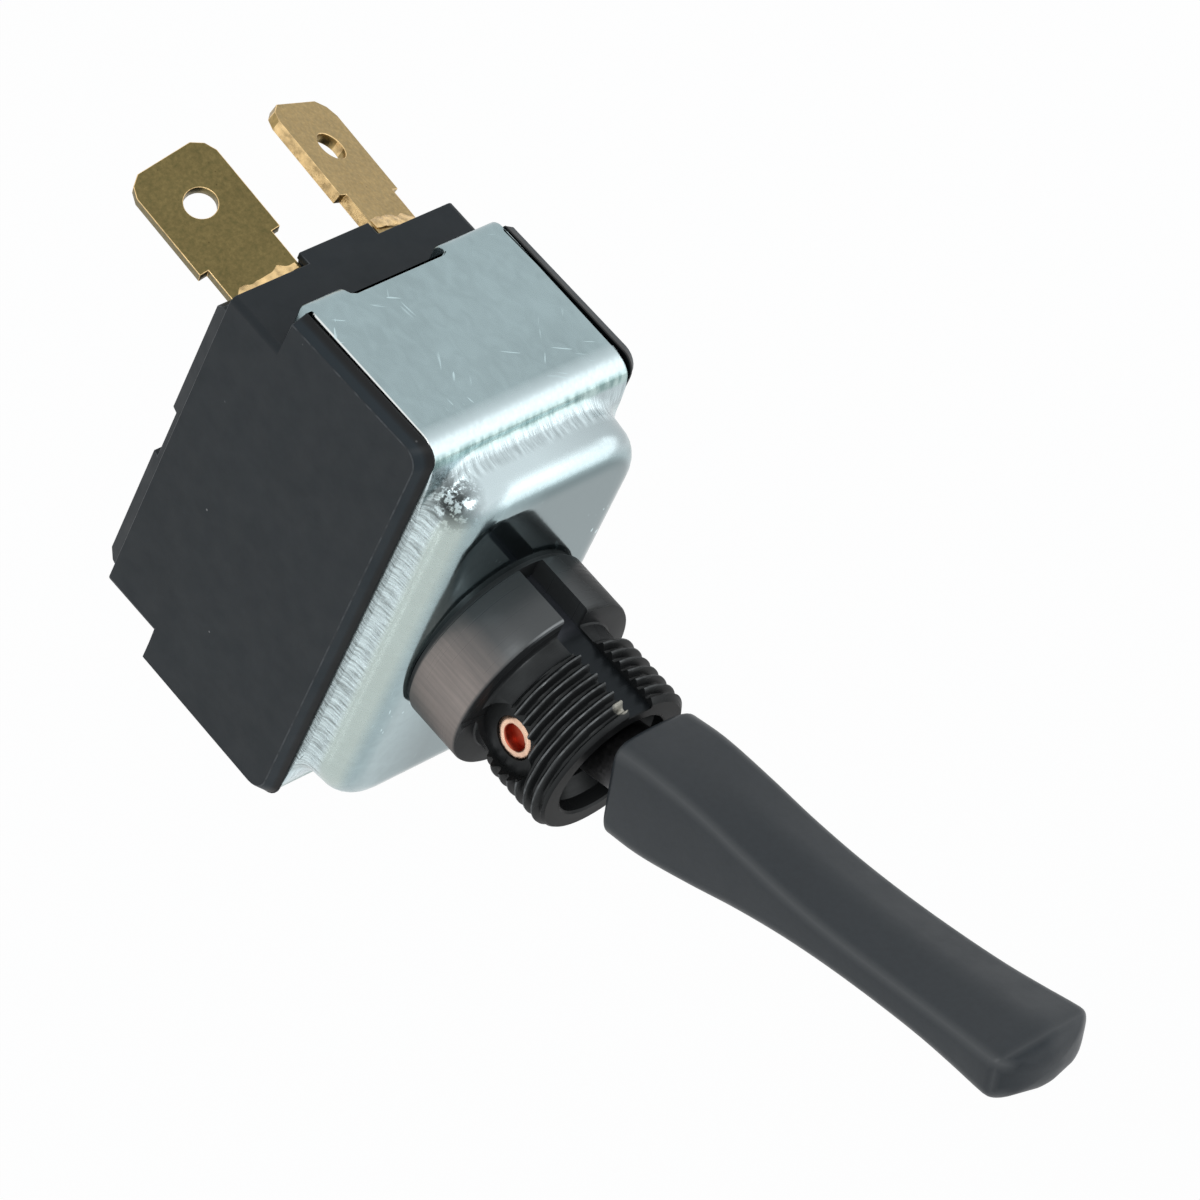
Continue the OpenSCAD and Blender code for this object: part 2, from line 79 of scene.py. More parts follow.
def colour(name, text, default):
    return FloatVectorProperty(name=name, description=text, default=default,
                               subtype="COLOR", min=0.0, max=1.0)


class SwitchSizes(bpy.types.PropertyGroup):
    """Sizes of the dressed pieces."""
    thread_radius: length("Thread radius", "Radius over the crests", 5.9)
    thread_depth: length("Thread depth", "Depth of the thread's V", 0.46)
    keyway_width: length("Keyway width", "Width of the slot along the bushing", 2.0)
    sheet: length("Sheet", "Thickness of the bracket's sheet", 0.8)
    pan_radius: length("Pan radius", "Edge radius of the raised pan", 2.0)
    bend_radius: length("Bend radius", "Outer radius of the flange bends", 2.0)
    crown: length("Crown", "Rise of the lever's faces along the middle", 0.62)
    ease: length("Edge ease", "Rounding of moulded and sheared edges", 0.06)
    turns: IntProperty(name="Spin steps", description="Steps in a full spin",
                       default=144, min=32)


class SwitchFinishes(bpy.types.PropertyGroup):
    """Colours and gloss of the dressed pieces."""
    case: colour("Case", "Moulded case", (0.0074, 0.0128, 0.0168))
    # rubbed edges, partly a painted highlight along them
    rubbed_and_lit: colour("Rubbed edges", "Moulding where its edges are rubbed", (0.062, 0.070, 0.076))
    lever: colour("Lever", "Lever handle", (0.0190, 0.0255, 0.0310))
    zinc: colour("Zinc", "Plated steel", (0.330, 0.425, 0.445))
    # burnishing on the bends, partly a painted highlight
    burnish_and_highlight: colour("Burnished zinc", "Plating where the sheet was bent", (0.600, 0.710, 0.740))
    # cut edges, partly a painted highlight
    sheared_and_highlight: colour("Sheared edges", "Cut edges of the sheet", (0.820, 0.860, 0.850))
    bushing: colour("Bushing", "Blackened metal", (0.052, 0.055, 0.056))
    # the collar's brown cast, partly a painted highlight along its -X side
    tone_patch: colour("Worn black", "Blackened metal where the light brown shows through", (0.300, 0.265, 0.245))
    brass_dark: colour("Tarnished brass", "Left tab", (0.185, 0.146, 0.060))
    brass_pale: colour("Pale brass", "Right tab", (0.392, 0.282, 0.120))
    brass_bright: colour("Bright brass", "Staked and sheared brass", (0.830, 0.600, 0.300))
    copper: colour("Copper", "Rolled end of the pivot rivet", (0.800, 0.540, 0.400))
    # redder, darker copper painted for the light bouncing in the rivet's bore
    bore_copper_light: colour("Deep copper", "Bore of the pivot rivet", (0.460, 0.095, 0.055))
    steel: colour("Steel", "Plain steel", (0.30, 0.30, 0.31))
    fibre: colour("Fibre", "Insulating sheet", (0.20, 0.07, 0.03))
    moulding: colour("Moulding", "Rocker moulding", (0.10, 0.035, 0.02))
    silver: colour("Silver", "Contacts", (0.75, 0.75, 0.72))


# ---------------------------------------------------------------- material helpers

class Shader:
    """A new material with a Principled surface and patterns on object coordinates."""

    def __init__(self, name, base, metallic, rough):
        self.mat = bpy.data.materials.new(name)
        self.mat.use_nodes = True
        self.tree = self.mat.node_tree
        self.bsdf = self.tree.nodes["Principled BSDF"]
        self.bsdf.inputs["Base Color"].default_value = (*base, 1.0)
        self.bsdf.inputs["Metallic"].default_value = metallic
        self.bsdf.inputs["Roughness"].default_value = rough
        self.coords = self.tree.nodes.new("ShaderNodeTexCoord")
        self.mat.diffuse_color = (*base, 1.0)

    def link(self, a, b):
        self.tree.links.new(a, b)

    def node(self, kind, **values):
        made = self.tree.nodes.new(kind)
        for key, value in values.items():
            setattr(made, key, value)
        return made

    def place(self, stretch=(1, 1, 1), turn=(0, 0, 0)):
        """Object coordinates in millimetres, stretched and turned."""
        mapping = self.node("ShaderNodeMapping")
        turned = any(turn)
        mapping.vector_type = "TEXTURE" if turned else "POINT"
        mapping.inputs["Scale"].default_value = [MM / k if turned else k / MM for k in stretch]
        mapping.inputs["Rotation"].default_value = turn
        self.link(self.coords.outputs["Object"], mapping.inputs["Vector"])
        return mapping.outputs["Vector"]

    def grain(self, scale, detail, stretch=(1, 1, 1), turn=(0, 0, 0), rough=0.5, twist=0.0):
        """Soft noise, with its scale per millimetre."""
        tex = self.node("ShaderNodeTexNoise")
        tex.inputs["Scale"].default_value = scale
        tex.inputs["Detail"].default_value = detail
        tex.inputs["Roughness"].default_value = rough
        tex.inputs["Distortion"].default_value = twist
        self.link(self.place(stretch, turn), tex.inputs["Vector"])
        return tex.outputs["Fac"]

    def cells(self, scale):
        """Distance to the nearest of some scattered points."""
        tex = self.node("ShaderNodeTexVoronoi")
        tex.inputs["Scale"].default_value = scale
        self.link(self.place(), tex.inputs["Vector"])
        return tex.outputs["Distance"]

    def ramp(self, value, *stops):
        """Colours or greys at stops along a value."""
        made = self.node("ShaderNodeValToRGB")
        made.color_ramp.elements.remove(made.color_ramp.elements[1])
        for i, (at, tone) in enumerate(stops):
            tone = (tone, tone, tone) if isinstance(tone, (int, float)) else tone
            stop = made.color_ramp.elements[0] if i == 0 else made.color_ramp.elements.new(at)
            stop.position = at
            stop.color = (*tone, 1.0)
        self.link(value, made.inputs["Fac"])
        return made.outputs["Color"]

    def shades(self, value, base, *stops):
        """One colour, darker or lighter by the factors given at stops along a value."""
        return self.ramp(value, *((at, shade(base, factor)) for at, factor in stops))

    def spread(self, value, low, high, out_low=0.0, out_high=1.0):
        """A value's stretch from low to high carried over to another one, and held at its ends."""
        made = self.node("ShaderNodeMapRange")
        for key, number in zip(("From Min", "From Max", "To Min", "To Max"), (low, high, out_low, out_high)):
            made.inputs[key].default_value = number
        self.link(value, made.inputs["Value"])
        return made.outputs["Result"]

    def blend(self, factor, a, b):
        """Colour a where the factor is 0, and colour b where it is 1."""
        made = self.node("ShaderNodeMix", data_type="RGBA")
        for socket, value in (("Factor_Float", factor), ("A_Color", a), ("B_Color", b)):
            target = next(s for s in made.inputs if s.identifier == socket)
            if isinstance(value, bpy.types.NodeSocket):
                self.link(value, target)
            else:
                target.default_value = value if isinstance(value, float) else (*value, 1.0)
        return next(s for s in made.outputs if s.identifier == "Result_Color")

    def maths(self, operation, a, b):
        made = self.node("ShaderNodeMath", operation=operation)
        for socket, value in zip(made.inputs, (a, b)):
            if isinstance(value, bpy.types.NodeSocket):
                self.link(value, socket)
            else:
                socket.default_value = value
        return made.outputs["Value"]

    def both(self, first, *others):
        """Product of masks, which are sockets or numbers."""
        for other in others:
            first = self.maths("MULTIPLY", first, other)
        return first

    def lay(self, tone, over, *masks):
        """A colour laid over another one as far as all the masks let it."""
        return self.blend(self.both(*masks), tone, over)

    def attribute(self, name):
        return self.node("ShaderNodeAttribute", attribute_name=name).outputs["Fac"]

    def axis(self, index):
        """One object coordinate, in millimetres."""
        split = self.node("ShaderNodeSeparateXYZ")
        self.link(self.place(), split.inputs["Vector"])
        return split.outputs[index]

    def across(self):
        """Distance from the Z axis, in millimetres."""
        reach = self.node("ShaderNodeVectorMath", operation="LENGTH")
        self.link(self.place((1, 1, 0)), reach.inputs[0])
        return reach.outputs["Value"]

    def near(self, spot, inner, outer):
        """1 within the inner distance of a place, falling to 0 at the outer one."""
        gap = self.node("ShaderNodeVectorMath", operation="DISTANCE")
        self.link(self.place(), gap.inputs[0])
        gap.inputs[1].default_value = spot
        return self.spread(gap.outputs["Value"], inner, outer, 1.0, 0.0)

    def band(self, value, low, high, soft):
        """1 where a value lies between two limits, with soft ends."""
        rising = self.spread(value, low - soft, low + soft)
        falling = self.spread(value, high - soft, high + soft, 1.0, 0.0)
        return self.both(rising, falling)

    def size_of(self, value):
        return self.maths("ABSOLUTE", value, 0.0)

    def bump(self, height, strength, depth):
        """Adds relief over what is there already, with its depth in millimetres."""
        made = self.node("ShaderNodeBump")
        made.inputs["Strength"].default_value = strength
        made.inputs["Distance"].default_value = depth * MM
        self.link(height, made.inputs["Height"])
        previous = self.bsdf.inputs["Normal"]
        if previous.is_linked:
            self.link(previous.links[0].from_socket, made.inputs["Normal"])
        self.link(made.outputs["Normal"], previous)

    def colour_from(self, socket):
        self.link(socket, self.bsdf.inputs["Base Color"])

    def rough_from(self, socket):
        self.link(socket, self.bsdf.inputs["Roughness"])

    def set(self, **values):
        for key, value in values.items():
            self.bsdf.inputs[key.replace("_", " ")].default_value = value


def shade(base, factor):
    """A colour made lighter or darker."""
    return tuple(min(1.0, c * factor) for c in base)


def moulded_black(name, base, rough, speck, rubbed_and_lit=None, seam_shade_and_highlight=False, edge_highlight=None):
    """Matte moulding with a fine skin, faint flow marks and a few pale specks."""
    pale_fleck = (0.55, 0.56, 0.56)
    s = Shader(name, base, 0.0, rough)
    s.set(Specular_IOR_Level=0.30)
    tone = s.shades(s.grain(0.10, 3.0, twist=0.4), base, (0.3, 0.92), (0.7, 1.09))
    skin = s.grain(2.6, 3.0)
    tone = s.lay(tone, s.shades(skin, base, (0.3, 0.8), (0.7, 1.25)), 0.35)
    flecks = s.ramp(s.cells(0.42), (0.0, 1.0), (speck, 0.0))
    sparse = s.ramp(s.grain(0.22, 0.0), (0.56, 0.0), (0.60, 1.0))
    tone = s.lay(tone, pale_fleck, flecks, sparse)
    if seam_shade_and_highlight:
        # painted shadow in the gap beside the bracket's flange, and a painted highlight on the case's lip
        # beyond it
        x, beside = s.size_of(s.axis(0)), s.spread(s.axis(2), -16.9, -16.3)
        tone = s.lay(tone, shade(base, 0.1), s.band(x, 8.30, 8.86, 0.10), beside, 0.9)
        tone = s.lay(tone, shade(base, 2.2), s.band(x, 8.98, 9.42, 0.06), beside, 0.5)
    # eased edges painted paler: rubbed edges and a painted highlight
    if rubbed_and_lit:
        tone = s.lay(tone, rubbed_and_lit, s.ramp(s.grain(1.4, 4.0), (0.40, 0.25), (0.58, 1.0)))
    # painted highlight along the edges, from a vertex layer
    if edge_highlight:
        tone = s.lay(tone, edge_highlight, s.attribute(EDGE_HIGHLIGHT))
    s.colour_from(tone)
    s.rough_from(s.spread(s.grain(0.7, 3.0), 0.3, 0.7, rough - 0.04, rough + 0.06))
    s.bump(s.grain(9.0, 2.0), 0.14, 0.02)
    s.bump(s.grain(1.1, 2.0), 0.05, 0.03)
    return s.mat


def zinc_plate(name, base, burnish_and_highlight, sheared_and_highlight):
    """Bright zinc on rolled steel: mottling, a few scratches, bends with burnishing and a painted highlight,
    their drawn marks, and painted light and shade on the walls, the pan's face, the valley and one cut edge.
    """
    # paler long walls as painted light, and the near black of one flaked corner
    painted_wall_light, corner_near_black = (0.62, 0.68, 0.60), (0.026, 0.030, 0.030)
    valley_dark, valley_pale = (0.20, 0.31, 0.30), (0.46, 0.60, 0.58)
    s = Shader(name, base, 1.0, 0.24)
    along_x = s.axis(0)
    x, y, z = s.size_of(along_x), s.size_of(s.axis(1)), s.axis(2)
    tone = s.shades(s.grain(0.16, 3.0), base, (0.3, 0.93), (0.7, 1.07))
    mottle = s.grain(1.1, 2.5, stretch=(1.0, 1.0, 0.6), twist=0.8)
    tone = s.lay(tone, s.shades(mottle, base, (0.34, 0.86), (0.66, 1.18)), 0.30)
    # the pan's face is smoother, and painted darker away from its -X side as a painted reflection of the dark
    # parts around it
    top = s.spread(z, -0.30, -0.10)
    tone = s.lay(tone, shade(base, 0.55), top, s.spread(along_x, -5.5, -1.0, 0.0, 0.9))
    # the bends have burnishing and a painted highlight, and drawn marks cross them
    fold = s.both(s.spread(y, 15.9, 16.4), s.band(z, -5.5, -4.1, 0.6))
    end_wall = s.both(s.band(y, 13.7, 15.7, 0.35), s.band(z, -4.0, -0.55, 0.3))
    long_wall = s.both(s.spread(x, 6.7, 7.5),
                       s.both(s.band(z, -4.2, -0.5, 0.3), s.spread(y, 13.2, 13.9, 1.0, 0.0)))
    tone = s.lay(tone, burnish_and_highlight, s.maths("MAXIMUM", fold, end_wall))
    # painted shade: the end walls grow darker towards +X
    tone = s.lay(tone, shade(burnish_and_highlight, 0.62), end_wall, s.spread(along_x, -1.0, 6.5))
    # painted light: the long walls are laid paler
    tone = s.lay(tone, painted_wall_light, long_wall, 0.45)
    long_rim = s.both(long_wall, s.band(z, -3.95, -2.15, 0.22))
    end_rim = s.both(s.band(y, 13.9, 16.0, 0.3), s.band(z, -3.75, -2.5, 0.25))
    drawn_long = s.grain(1.0, 4.0, stretch=(0.35, 5.0, 0.5), rough=0.7)
    drawn_end = s.grain(1.0, 4.0, stretch=(4.2, 0.35, 0.5), rough=0.7)
    for rim, marks, low in ((long_rim, drawn_long, 0.30), (end_rim, drawn_end, 0.62)):
        ticks = s.shades(marks, burnish_and_highlight, (0.34, low), (0.48, 0.82), (0.62, 1.2))
        tone = s.lay(tone, ticks, rim, 0.8)
    # painted shade in the valley below the bend, streaked along the drawn marks
    valley = s.both(s.band(y, 15.55, 16.3, 0.16), s.band(z, -4.45, -3.62, 0.14))
    streaks = s.grain(1.0, 3.0, stretch=(2.6, 0.6, 0.6))
    tone = s.lay(tone, s.ramp(streaks, (0.36, valley_dark), (0.62, valley_pale)), valley, 0.85)
    # one corner of the pan's wall is painted near black in flakes
    tone_patch = s.near((-7.4, 13.9, -2.3), 0.7, 2.2)
    flakes = s.ramp(s.grain(1.5, 5.0, rough=0.75), (0.45, 0.0), (0.50, 1.0))
    tone = s.lay(tone, corner_near_black, tone_patch, flakes, 0.95)
    # cut edge on the flanges' -X side, painted near white: the edge's own colour and a painted highlight
    tone = s.lay(tone, sheared_and_highlight, s.spread(along_x, -8.19, -8.25), s.spread(z, -3.9, -4.3))
    # scratches on the flat faces
    flat = s.maths("MAXIMUM", s.spread(y, 16.5, 16.95), s.spread(z, -0.5, -0.1))
    for turn, scale, patch_scale in ((0.08, 0.43, 0.23), (1.05, 0.36, 0.19), (-0.65, 0.40, 0.29)):
        line = s.grain(scale, 1.0, stretch=(11.0, 3.0, 0.9), turn=(0.01, turn, 0.0))
        where = s.ramp(s.grain(patch_scale, 0.0, turn=(0.01, turn, 0.0)), (0.64, 0.0), (0.69, 1.0))
        thin = s.ramp(line, (0.695, 0.0), (0.715, 1.0))
        tone = s.lay(tone, shade(base, 1.9), thin, where, flat, 0.7)
    s.colour_from(tone)
    grained = s.spread(s.grain(4.0, 2.0), 0.35, 0.65, 0.23, 0.31)
    grained = s.both(grained, s.spread(top, 0.0, 1.0, 1.0, 0.45))
    s.rough_from(s.maths("ADD", grained, s.both(fold, 0.09)))
    s.bump(mottle, 0.06, 0.02)
    s.bump(s.both(long_rim, drawn_long), 0.6, 0.10)
    s.bump(s.both(end_rim, drawn_end), 0.5, 0.10)
    s.bump(s.both(fold, s.grain(1.6, 3.0, stretch=(1.6, 1.0, 1.0))), 0.30, 0.06)
    return s.mat


def black_turned(name, base, tone_patch):
    """Blackened turned metal: fine tool lines, a brown cast and painted light and shade on the collar, thread
    crests lightened by wear and a painted highlight, painted shade in the grooves, on the thread's +X side,
    on the end face and in the bore, and painted light and shade along the keyway.
    """
    # painted light and shade for the keyway, and bare metal for a chip
    keyway_painted_light, keyway_painted_shade, bare = (0.090, 0.096, 0.110), (0.024, 0.028, 0.031), (0.42, 0.41, 0.36)
    s = Shader(name, base, 0.55, 0.3)
    s.set(Specular_IOR_Level=0.22, Specular_Tint=(0.15, 0.15, 0.15, 1.0))
    x, z, r = s.axis(0), s.axis(2), s.across()
    tone = s.shades(s.grain(0.5, 3.0), base, (0.3, 0.85), (0.7, 1.2))
    rings = s.grain(1.0, 3.0, stretch=(0.05, 0.05, 9.0))
    lengthwise = s.grain(1.0, 4.0, stretch=(4.5, 4.5, 0.18), rough=0.65)
    # the collar is painted lighter except on its +X side, which stays dark as painted shade; it has a brown
    # cast with a painted highlight along its -X side, and a painted highlight on one stretch of its rim
    collar = s.band(z, 0.3, 4.75, 0.1)
    # painted light on the collar, leaving its +X side dark as painted shade
    tone = s.lay(tone, shade(base, 2.0), collar, s.spread(x, 1.2, 3.0, 1.0, 0.0), 0.9)
    # brown cast along the collar's -X side, partly a painted highlight
    cast = s.both(collar, s.ramp(lengthwise, (0.36, 0.70), (0.66, 1.0)))
    tone = s.lay(tone, tone_patch, cast, s.spread(x, -4.7, -6.5))
    # painted highlight on one stretch of the collar's front chamfer beside the keyway
    tone = s.lay(tone, shade(base, 5.5), s.near((-1.6, 6.75, 4.85), 0.9, 2.4),
                 s.spread(z, 4.70, 4.78), s.spread(r, 6.6, 6.7))
    # thread: painted shade in the grooves, and crests lightened by wear and a painted highlight
    thread = s.spread(z, 6.3, 6.6)
    tone = s.lay(tone, shade(base, 0.62), thread, s.spread(r, 5.74, 5.87, 1.0, 0.0), 0.85)
    crest = s.both(thread, s.spread(r, 5.872, 5.895))
    tone = s.lay(tone, shade(base, 3.0), crest, s.ramp(s.grain(1.6, 3.0), (0.35, 0.25), (0.6, 1.0)))
    # painted shade on the thread's +X side
    tone = s.lay(tone, shade(base, 0.45), thread, s.spread(x, 0.8, 1.6, 0.0, 0.5))
    # the keyway is painted lit along the collar and in shade beyond it, and the end face and the inside are
    # painted darker as shade
    slot = s.both(s.spread(s.size_of(x), 0.985, 1.02, 1.0, 0.0), s.band(s.axis(1), 4.9, 6.75, 0.05))
    keyway_light_ramp = s.ramp(s.spread(z, 4.6, 5.4), (0.0, keyway_painted_light), (1.0, keyway_painted_shade))
    tone = s.lay(tone, keyway_light_ramp, slot, s.spread(r, 5.28, 5.33, 1.0, 0.0))
    # painted shade on the end face
    tone = s.lay(tone, shade(base, 0.45), s.spread(z, 11.78, 11.92), 0.9)
    # painted shade inside the bore
    tone = s.lay(tone, shade(base, 0.6), s.spread(r, 4.75, 4.9, 1.0, 0.0), 0.8)
    # a chip through the blacking beside the keyway
    chip = s.maths("MAXIMUM", s.near((-1.30, 5.66, 11.20), 0.46, 0.54),
                   s.near((-2.25, 5.42, 11.45), 0.15, 0.20))
    tone = s.lay(tone, bare, chip, s.ramp(s.grain(2.2, 3.0), (0.36, 0.35), (0.48, 1.0)))
    s.colour_from(tone)
    s.rough_from(s.spread(rings, 0.3, 0.7, 0.26, 0.42))
    s.bump(rings, 0.20, 0.02)
    s.bump(s.grain(3.0, 2.0), 0.08, 0.02)
    return s.mat


def tarnished_brass(name, base, olive):
    """Stamped brass with fine olive tarnish, pits and a faint rolling grain."""
    s = Shader(name, base, 1.0, 0.36)
    tone = s.shades(s.grain(0.45, 3.0), base, (0.3, 0.86), (0.7, 1.14))
    fine = s.grain(3.6, 6.0, rough=0.7)
    tone = s.lay(tone, s.ramp(fine, (0.32, olive), (0.52, base), (0.72, shade(base, 1.45))), 0.6)
    pits = s.ramp(s.cells(1.5), (0.0, 1.0), (0.10, 0.0))
    pitted = s.ramp(s.grain(0.8, 0.0), (0.5, 0.0), (0.56, 1.0))
    s.colour_from(s.lay(tone, shade(base, 0.35), pits, pitted))
    s.rough_from(s.spread(s.grain(4.0, 4.0), 0.3, 0.7, 0.30, 0.48))
    s.bump(s.grain(5.0, 5.0, rough=0.6), 0.22, 0.025)
    s.bump(s.grain(1.0, 2.0, stretch=(7.0, 7.0, 0.3)), 0.06, 0.02)
    return s.mat


def staked_brass(name, base):
    """Bright, torn brass where the tab was staked or cut."""
    s = Shader(name, base, 1.0, 0.3)
    torn = s.grain(1.6, 4.0)
    s.colour_from(s.ramp(torn, (0.32, shade(base, 0.62)), (0.50, base), (0.66, shade(base, 1.2))))
    s.rough_from(s.spread(s.grain(4.0, 3.0), 0.3, 0.7, 0.22, 0.5))
    s.bump(s.grain(2.5, 5.0, rough=0.7), 0.6, 0.08)
    return s.mat


def plain_metal(name, base, rough):
    """Plain bright metal with light handling marks."""
    s = Shader(name, base, 1.0, rough)
    s.colour_from(s.shades(s.grain(1.2, 4.0), base, (0.3, 0.8), (0.7, 1.15)))
    s.rough_from(s.spread(s.grain(4.0, 3.0), 0.3, 0.7, rough - 0.07, rough + 0.08))
    s.bump(s.grain(6.0, 2.0), 0.1, 0.01)
    return s.mat


def pressed_sheet(name, base):
    """Fibre or phenolic: warm brown with short fibres."""
    s = Shader(name, base, 0.0, 0.6)
    fibres = s.grain(1.5, 5.0, stretch=(1, 4, 1))
    s.colour_from(s.shades(fibres, base, (0.3, 0.75), (0.7, 1.3)))
    s.bump(s.grain(5.0, 3.0), 0.15, 0.02)
    return s.mat


# ---------------------------------------------------------------- mesh helpers

def apply_modifiers(piece):
    """Keeps what the modifiers made as the piece's own mesh."""
    bpy.context.view_layer.update()
    shown = piece.evaluated_get(bpy.context.evaluated_depsgraph_get())
    mesh = bpy.data.meshes.new_from_object(shown)
    old = piece.data
    piece.modifiers.clear()
    piece.data = mesh
    bpy.data.meshes.remove(old)


def weigh_normals(piece):
    """Keeps broad faces flat in shading beside their rounded edges."""
    mod = piece.modifiers.new("weigh", "WEIGHTED_NORMAL")
    mod.keep_sharp = True
    apply_modifiers(piece)


def loose_object(name, bm):
    """A bmesh as an object, which isn't part of the model yet."""
    mesh = bpy.data.meshes.new(name)
    bm.to_mesh(mesh)
    bm.free()
    made = bpy.data.objects.new(name, mesh)
    bpy.context.scene.collection.objects.link(made)
    return made


def finish_piece(name, bm, materials, body, node=None, smooth_angle=35.0, weigh=False):
    """Turns a bmesh into a piece of the model, hangs it on its body and puts it in a node's place."""
    for face in bm.faces:
        face.smooth = True
    piece = loose_object(name, bm)
    for material in materials:
        piece.data.materials.append(material)
    piece.data.set_sharp_from_angle(angle=math.radians(smooth_angle))
    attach(piece, body)
    if node:
        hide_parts(node)
    if weigh:
        weigh_normals(piece)


def drop(made):
    """Removes a helper object and its mesh."""
    mesh = made.data
    bpy.data.objects.remove(made)
    bpy.data.meshes.remove(mesh)


def worked(helper):
    """What a helper object's modifiers make of it, as a bmesh, without the object."""
    apply_modifiers(helper)
    bm = bmesh.new()
    bm.from_mesh(helper.data)
    drop(helper)
    return bm


def cut(bm, *cutters):
    """Takes the cutters' volumes out of a closed bmesh and returns the rest."""
    work = loose_object("work", bm)
    tools = [loose_object("cutter", c) for c in cutters]
    for tool in tools:
        mod = work.modifiers.new("cut", "BOOLEAN")
        mod.operation = "DIFFERENCE"
        mod.solver = "EXACT"
        mod.object = tool
    result = worked(work)
    for tool in tools:
        drop(tool)
    return result


def box_mesh(low, high):
    """A box between two corners, in millimetres."""
    bm = bmesh.new()
    bmesh.ops.create_cube(bm, size=1.0)
    low, high = Vector(low) * MM, Vector(high) * MM
    bmesh.ops.scale(bm, vec=high - low, verts=bm.verts)
    bmesh.ops.translate(bm, vec=(low + high) / 2, verts=bm.verts)
    return bm


def rod_across(radius, start, end):
    """A closed round bar along X through the pivot's height, between two places in millimetres."""
    bm = bmesh.new()
    middle = Vector(((start + end) / 2, 0, 0))
    bmesh.ops.create_cone(bm, cap_ends=True, segments=48, radius1=radius * MM, radius2=radius * MM,
                          depth=abs(end - start) * MM,
                          matrix=Matrix.Translation(middle * MM) @ Matrix.Rotation(math.pi / 2, 4, "Y"))
    bm.transform(Matrix.Translation(PIVOT))
    return bm


def spin_profile(points, steps, axis="Z"):
    """Closed solid of revolution from (radius, height) points in millimetres."""
    bm = bmesh.new()
    if axis == "Z":
        around, spots = Vector((0, 0, 1)), [(r, 0, h) for r, h in points]
    else:
        around, spots = Vector((1, 0, 0)), [(h, 0, r) for r, h in points]
    verts = [bm.verts.new(Vector(spot) * MM) for spot in spots]
    edges = [bm.edges.new((a, b)) for a, b in zip(verts, verts[1:] + verts[:1])]
    bmesh.ops.spin(bm, geom=verts + edges, cent=(0, 0, 0), axis=around, angle=2 * math.pi,
                   steps=steps, use_merge=True)
    bmesh.ops.remove_doubles(bm, verts=bm.verts, dist=1e-7)
    bmesh.ops.recalc_face_normals(bm, faces=bm.faces)
    return bm


def extrude_rim(bm, edges):
    """Extrudes edges and returns the new vertices and edges."""
    made = bmesh.ops.extrude_edge_only(bm, edges=edges)["geom"]
    verts = [g for g in made if isinstance(g, bmesh.types.BMVert)]
    rim = [g for g in made if isinstance(g, bmesh.types.BMEdge)]
    keep = set(verts)
    return verts, [e for e in rim if e.verts[0] in keep and e.verts[1] in keep]


def next_ring(bm, ring):
    """Extrudes an open ring of vertices and returns the new ring in the same order."""
    fresh = set(extrude_rim(bm, [bm.edges.get(pair) for pair in zip(ring, ring[1:] + ring[:1])])[0])
    return [next(e.other_vert(vert) for e in vert.link_edges if e.other_vert(vert) in fresh)
            for vert in ring]


def ease_edges(bm, width, sharp):
    """Rounds the edges where faces turn by more than an angle, and returns the new faces."""
    edges = [e for e in bm.edges
             if len(e.link_faces) == 2 and e.calc_face_angle(0.0) > math.radians(sharp)]
    return bmesh.ops.bevel(bm, geom=edges, offset=width, offset_type="OFFSET", segments=2, profile=0.5,
                           affect="EDGES", material=-1, clamp_overlap=False)["faces"]


def keep_within(bm, node):
    """Draws vertices that a rounded edge pushed out back to the box of a node's solid."""
    spots = [v.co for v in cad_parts[node].data.vertices]
    low = [min(spot[i] for spot in spots) for i in range(3)]
    high = [max(spot[i] for spot in spots) for i in range(3)]
    for v in bm.verts:
        for i in range(3):
            v.co[i] = max(low[i], min(high[i], v.co[i]))


def eased_copy(node, width):
    """A node's solid with its flat faces joined and its edges rounded, the roundings in a second slot."""
    bm = bmesh.new()
    bm.from_mesh(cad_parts[node].data)
    bmesh.ops.remove_doubles(bm, verts=bm.verts, dist=2e-6)
    bmesh.ops.dissolve_limit(bm, angle_limit=math.radians(0.6), verts=bm.verts, edges=bm.edges)
    for face in ease_edges(bm, width, 28.0):
        face.material_index = 1
    keep_within(bm, node)
    return bm


def portion(value, start, span):
    """0 up to a start, 1 from a span after it, and even between."""
    return max(0.0, min(1.0, (value - start) / span))


def smoothly(stations, at):
    """Value at a place between stations, along a smooth curve through them."""
    last = len(stations) - 1
    i = max(0, min(last - 1, sum(1 for place, _ in stations if place <= at) - 1))
    (x0, p0), (x1, p1) = stations[i], stations[i + 1]
    before = stations[max(0, i - 1)]
    after = stations[min(last, i + 2)]
    t = (at - x0) / (x1 - x0)
    m0 = (p1 - before[1]) / (x1 - before[0]) * (x1 - x0)
    m1 = (after[1] - p0) / (after[0] - x0) * (x1 - x0)
    return ((2 * t ** 3 - 3 * t ** 2 + 1) * p0 + (t ** 3 - 2 * t ** 2 + t) * m0
            + (3 * t ** 2 - 2 * t ** 3) * p1 + (t ** 3 - t ** 2) * m1)


# ---------------------------------------------------------------- case

class SWITCH_OT_case(bpy.types.Operator):
    """Moulded case with eased edges."""
    bl_idname = "switch.case"
    bl_label = "Case"

    def execute(self, context):
        sizes, looks = context.scene.switch_sizes, context.scene.switch_finishes
        bm = eased_copy("case", sizes.ease)
        # the roundings' slot is painted paler as rubbed edges with a painted highlight
        finishes = (moulded_black("case_moulding", looks.case, 0.5, 0.05, seam_shade_and_highlight=True),
                    moulded_black("case_rubbed_and_lit", looks.case, 0.42, 0.01, rubbed_and_lit=tuple(looks.rubbed_and_lit)))
        finish_piece("case_shell", bm, finishes, "housing", "case", weigh=True)
        return {"FINISHED"}


# ---------------------------------------------------------------- bracket

